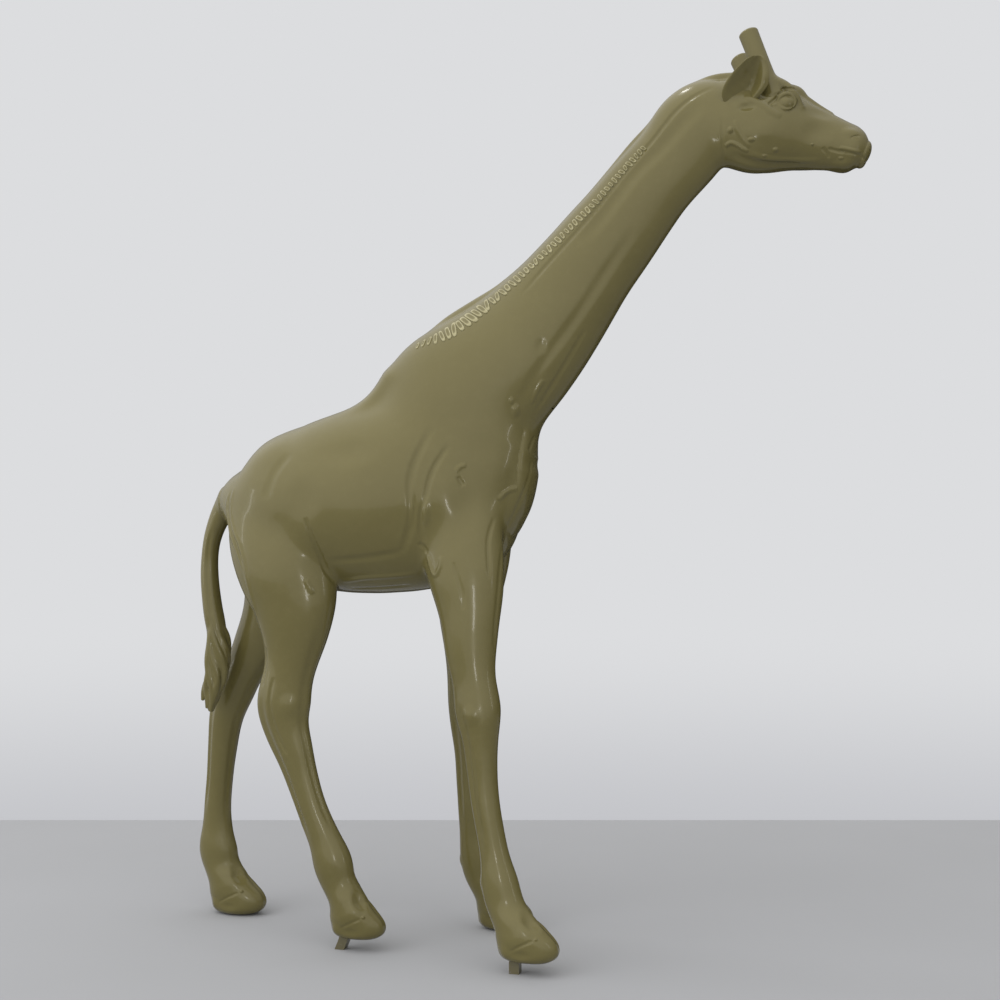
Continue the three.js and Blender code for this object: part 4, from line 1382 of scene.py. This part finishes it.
# %% Mill scale and painted steel
steel = Finish("brushed_steel", Metallic=1.0)
grain = steel.noise(60.0, 4.0, 0.6, stretch=(1, 1, 8))
scale = steel.noise(14.0, 4.0)
patch = scale.eased(0.4, 0.62)
tone = steel.blend(patch, (0.19, 0.2, 0.22, 1), (0.46, 0.46, 0.45, 1))
steel.wear(tone, 0.34 + 0.3 * grain, grain, 0.0004)
paint = Finish("painted_steel", **{"Coat Weight": 0.5, "Coat Roughness": 0.1})
chips = paint.noise(90.0, 4.0, 0.65)
bare = chips.eased(0.66, 0.7)
dust = paint.noise(30.0, 3.0)
coat = paint.blend(dust, (0.075, 0.066, 0.03, 1), (0.12, 0.105, 0.05, 1))
worn = paint.blend(bare, coat, (0.3, 0.28, 0.26, 1))
paint.wear(worn, 0.3 + 0.3 * dust, dust - bare * 0.6, 0.0006, Metallic=bare)
for name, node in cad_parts.items():
    finish = paint if "floor_lug" in name else steel
    node.data.materials.clear()
    node.data.materials.append(finish.material)
print("nodes given a steel or painted finish:", len(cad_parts))

# %% [markdown]
# ## Floor, light and camera
# A gloss skin is lit by what it mirrors. A room that is paler overhead and to the left gives the
# long soft shading, one broad panel lifts the back, and small panels make the crisp glints. The
# room is dark on the far side, because the edge of a gloss shape mirrors what stands behind it,
# and dark edges draw its outline. The floor ends at a straight line, and the haze of the room
# takes over there, so no wall stands in the way of a camera.

# %% Camera
BEARING, TILT = math.radians(16.0), math.radians(3.3717)  # round from the side, and up
STAND_OFF = 3.465  # metres from the statue's middle
EYE_HEIGHT = 0.996  # metres
OFF_MIDDLE = -0.007  # metres along the statue
ahead = np.array([-math.sin(BEARING), math.cos(BEARING)])
eye_point = np.array([OFF_MIDDLE - STAND_OFF * ahead[0], -STAND_OFF * ahead[1], EYE_HEIGHT])
forward = np.append(ahead * math.cos(TILT), math.sin(TILT))
camera = bpy.data.objects.new("camera", bpy.data.cameras.new("camera"))
bpy.context.scene.collection.objects.link(camera)
camera.data.lens = 45.83


def aim(thing, place, target):
    """Puts a light or camera at a place and turns its -Z axis to the target."""
    thing.location = place
    thing.rotation_euler = (Vector(target) - Vector(place)).to_track_quat("-Z", "Y").to_euler()


aim(camera, eye_point, eye_point + forward)
bpy.context.scene.camera = camera
bpy.context.scene.view_settings.view_transform = "Standard"
print("camera stands at", eye_point.round(2))

# %% Floor
FLOOR_END = 1.787  # metres past the statue's middle, along the camera's bearing
FLOOR_REACH = 9.0  # metres towards the camera and to either side
aside = np.array([ahead[1], -ahead[0]])
corners = [(*(far * ahead + wide * aside), 0) for far, wide in (
    (-FLOOR_REACH, -FLOOR_REACH), (-FLOOR_REACH, FLOOR_REACH),
    (FLOOR_END, FLOOR_REACH), (FLOOR_END, -FLOOR_REACH),
)]
mesh = bpy.data.meshes.new("floor")
mesh.from_pydata(corners, [], [(0, 1, 2, 3)])
floor = bpy.data.objects.new("floor", mesh)
bpy.context.scene.collection.objects.link(floor)
matt = Finish("pale_floor", **{"Specular IOR Level": 0.1})
mottle = matt.noise(1.5, 3.0)
tone = matt.blend(mottle, (0.350, 0.358, 0.384, 1), (0.368, 0.376, 0.404, 1))
matt.wear(tone, 0.8 + 0.1 * mottle, mottle, 0.001)
floor.data.materials.append(matt.material)
print("floor corners:", np.round(corners, 2).tolist(), "  nodes:", len(matt.nodes))

# %% Room
LIGHT_SIDE = (-0.30, -0.66, 0.69)  # where the room is brightest
HAZE_LOW, HAZE_HIGH = (0.539, 0.545, 0.572, 1), (0.716, 0.723, 0.738, 1)
world = bpy.data.worlds.new("pale_room")
bpy.context.scene.world = world
room = Graph(world)
look = room.add("TexCoord").outputs["Generated"]
height = Value(room, room.add("SeparateXYZ", None, {0: look}).outputs["Z"])
seen = room.nodes["Background"]
room.set(seen, {"Color": room.blend(height.eased(-0.215, -0.04), HAZE_LOW, HAZE_HIGH)})
dot = room.add("VectorMath", {"operation": "DOT_PRODUCT"}, {0: look, 1: LIGHT_SIDE})
facing = Value(room, dot.outputs["Value"])
strength = 0.03 + 1.52 * facing.eased(-0.72, 0.95)
lit = room.add("Background", None, {"Color": (1.0, 0.985, 0.94, 1), "Strength": strength})
from_camera = room.add("LightPath").outputs["Is Camera Ray"]
choose = room.add("MixShader", None, {0: from_camera, 1: lit.outputs[0], 2: seen.outputs[0]})
room.set(room.nodes["World Output"], {"Surface": choose.outputs[0]})
print("room nodes:", len(room.nodes))


# %% Panels
def panel(name, place, target, size, radiance, mirrored=True):
    """A soft rectangular light, given by how bright its face is: the power of an even panel is
    its brightness times pi times its area. mirrored says whether the gloss shows it."""
    data = bpy.data.lights.new(name, "AREA")
    data.shape = "RECTANGLE"
    data.size, data.size_y = size
    data.energy = radiance * math.pi * size[0] * size[1]
    lamp = bpy.data.objects.new(name, data)
    bpy.context.scene.collection.objects.link(lamp)
    lamp.visible_glossy = mirrored
    aim(lamp, place, target)


panel("broad_left_panel", (-4.2, -3.4, 4.4), (-0.1, 0, 1.3), (3.6, 3.6), 1.7, mirrored=False)
panel("window_panel", (0.55, -3.7, 0.95), (0.1, 0, 1.3), (0.26, 0.4), 13)
panel("overhead_panel", (-0.5, 0.1, 4.9), (0, 0, 1.5), (0.3, 0.3), 22)
panel("left_strip", (-4.4, -1.6, 1.5), (0, 0, 1.3), (0.16, 1.6), 4)
panel("right_strip", (4.2, -2.2, 1.9), (0, 0, 1.5), (0.14, 1.4), 7)

# %% Sizes
print("box in the frame", np.round(cad_box, 3).tolist())
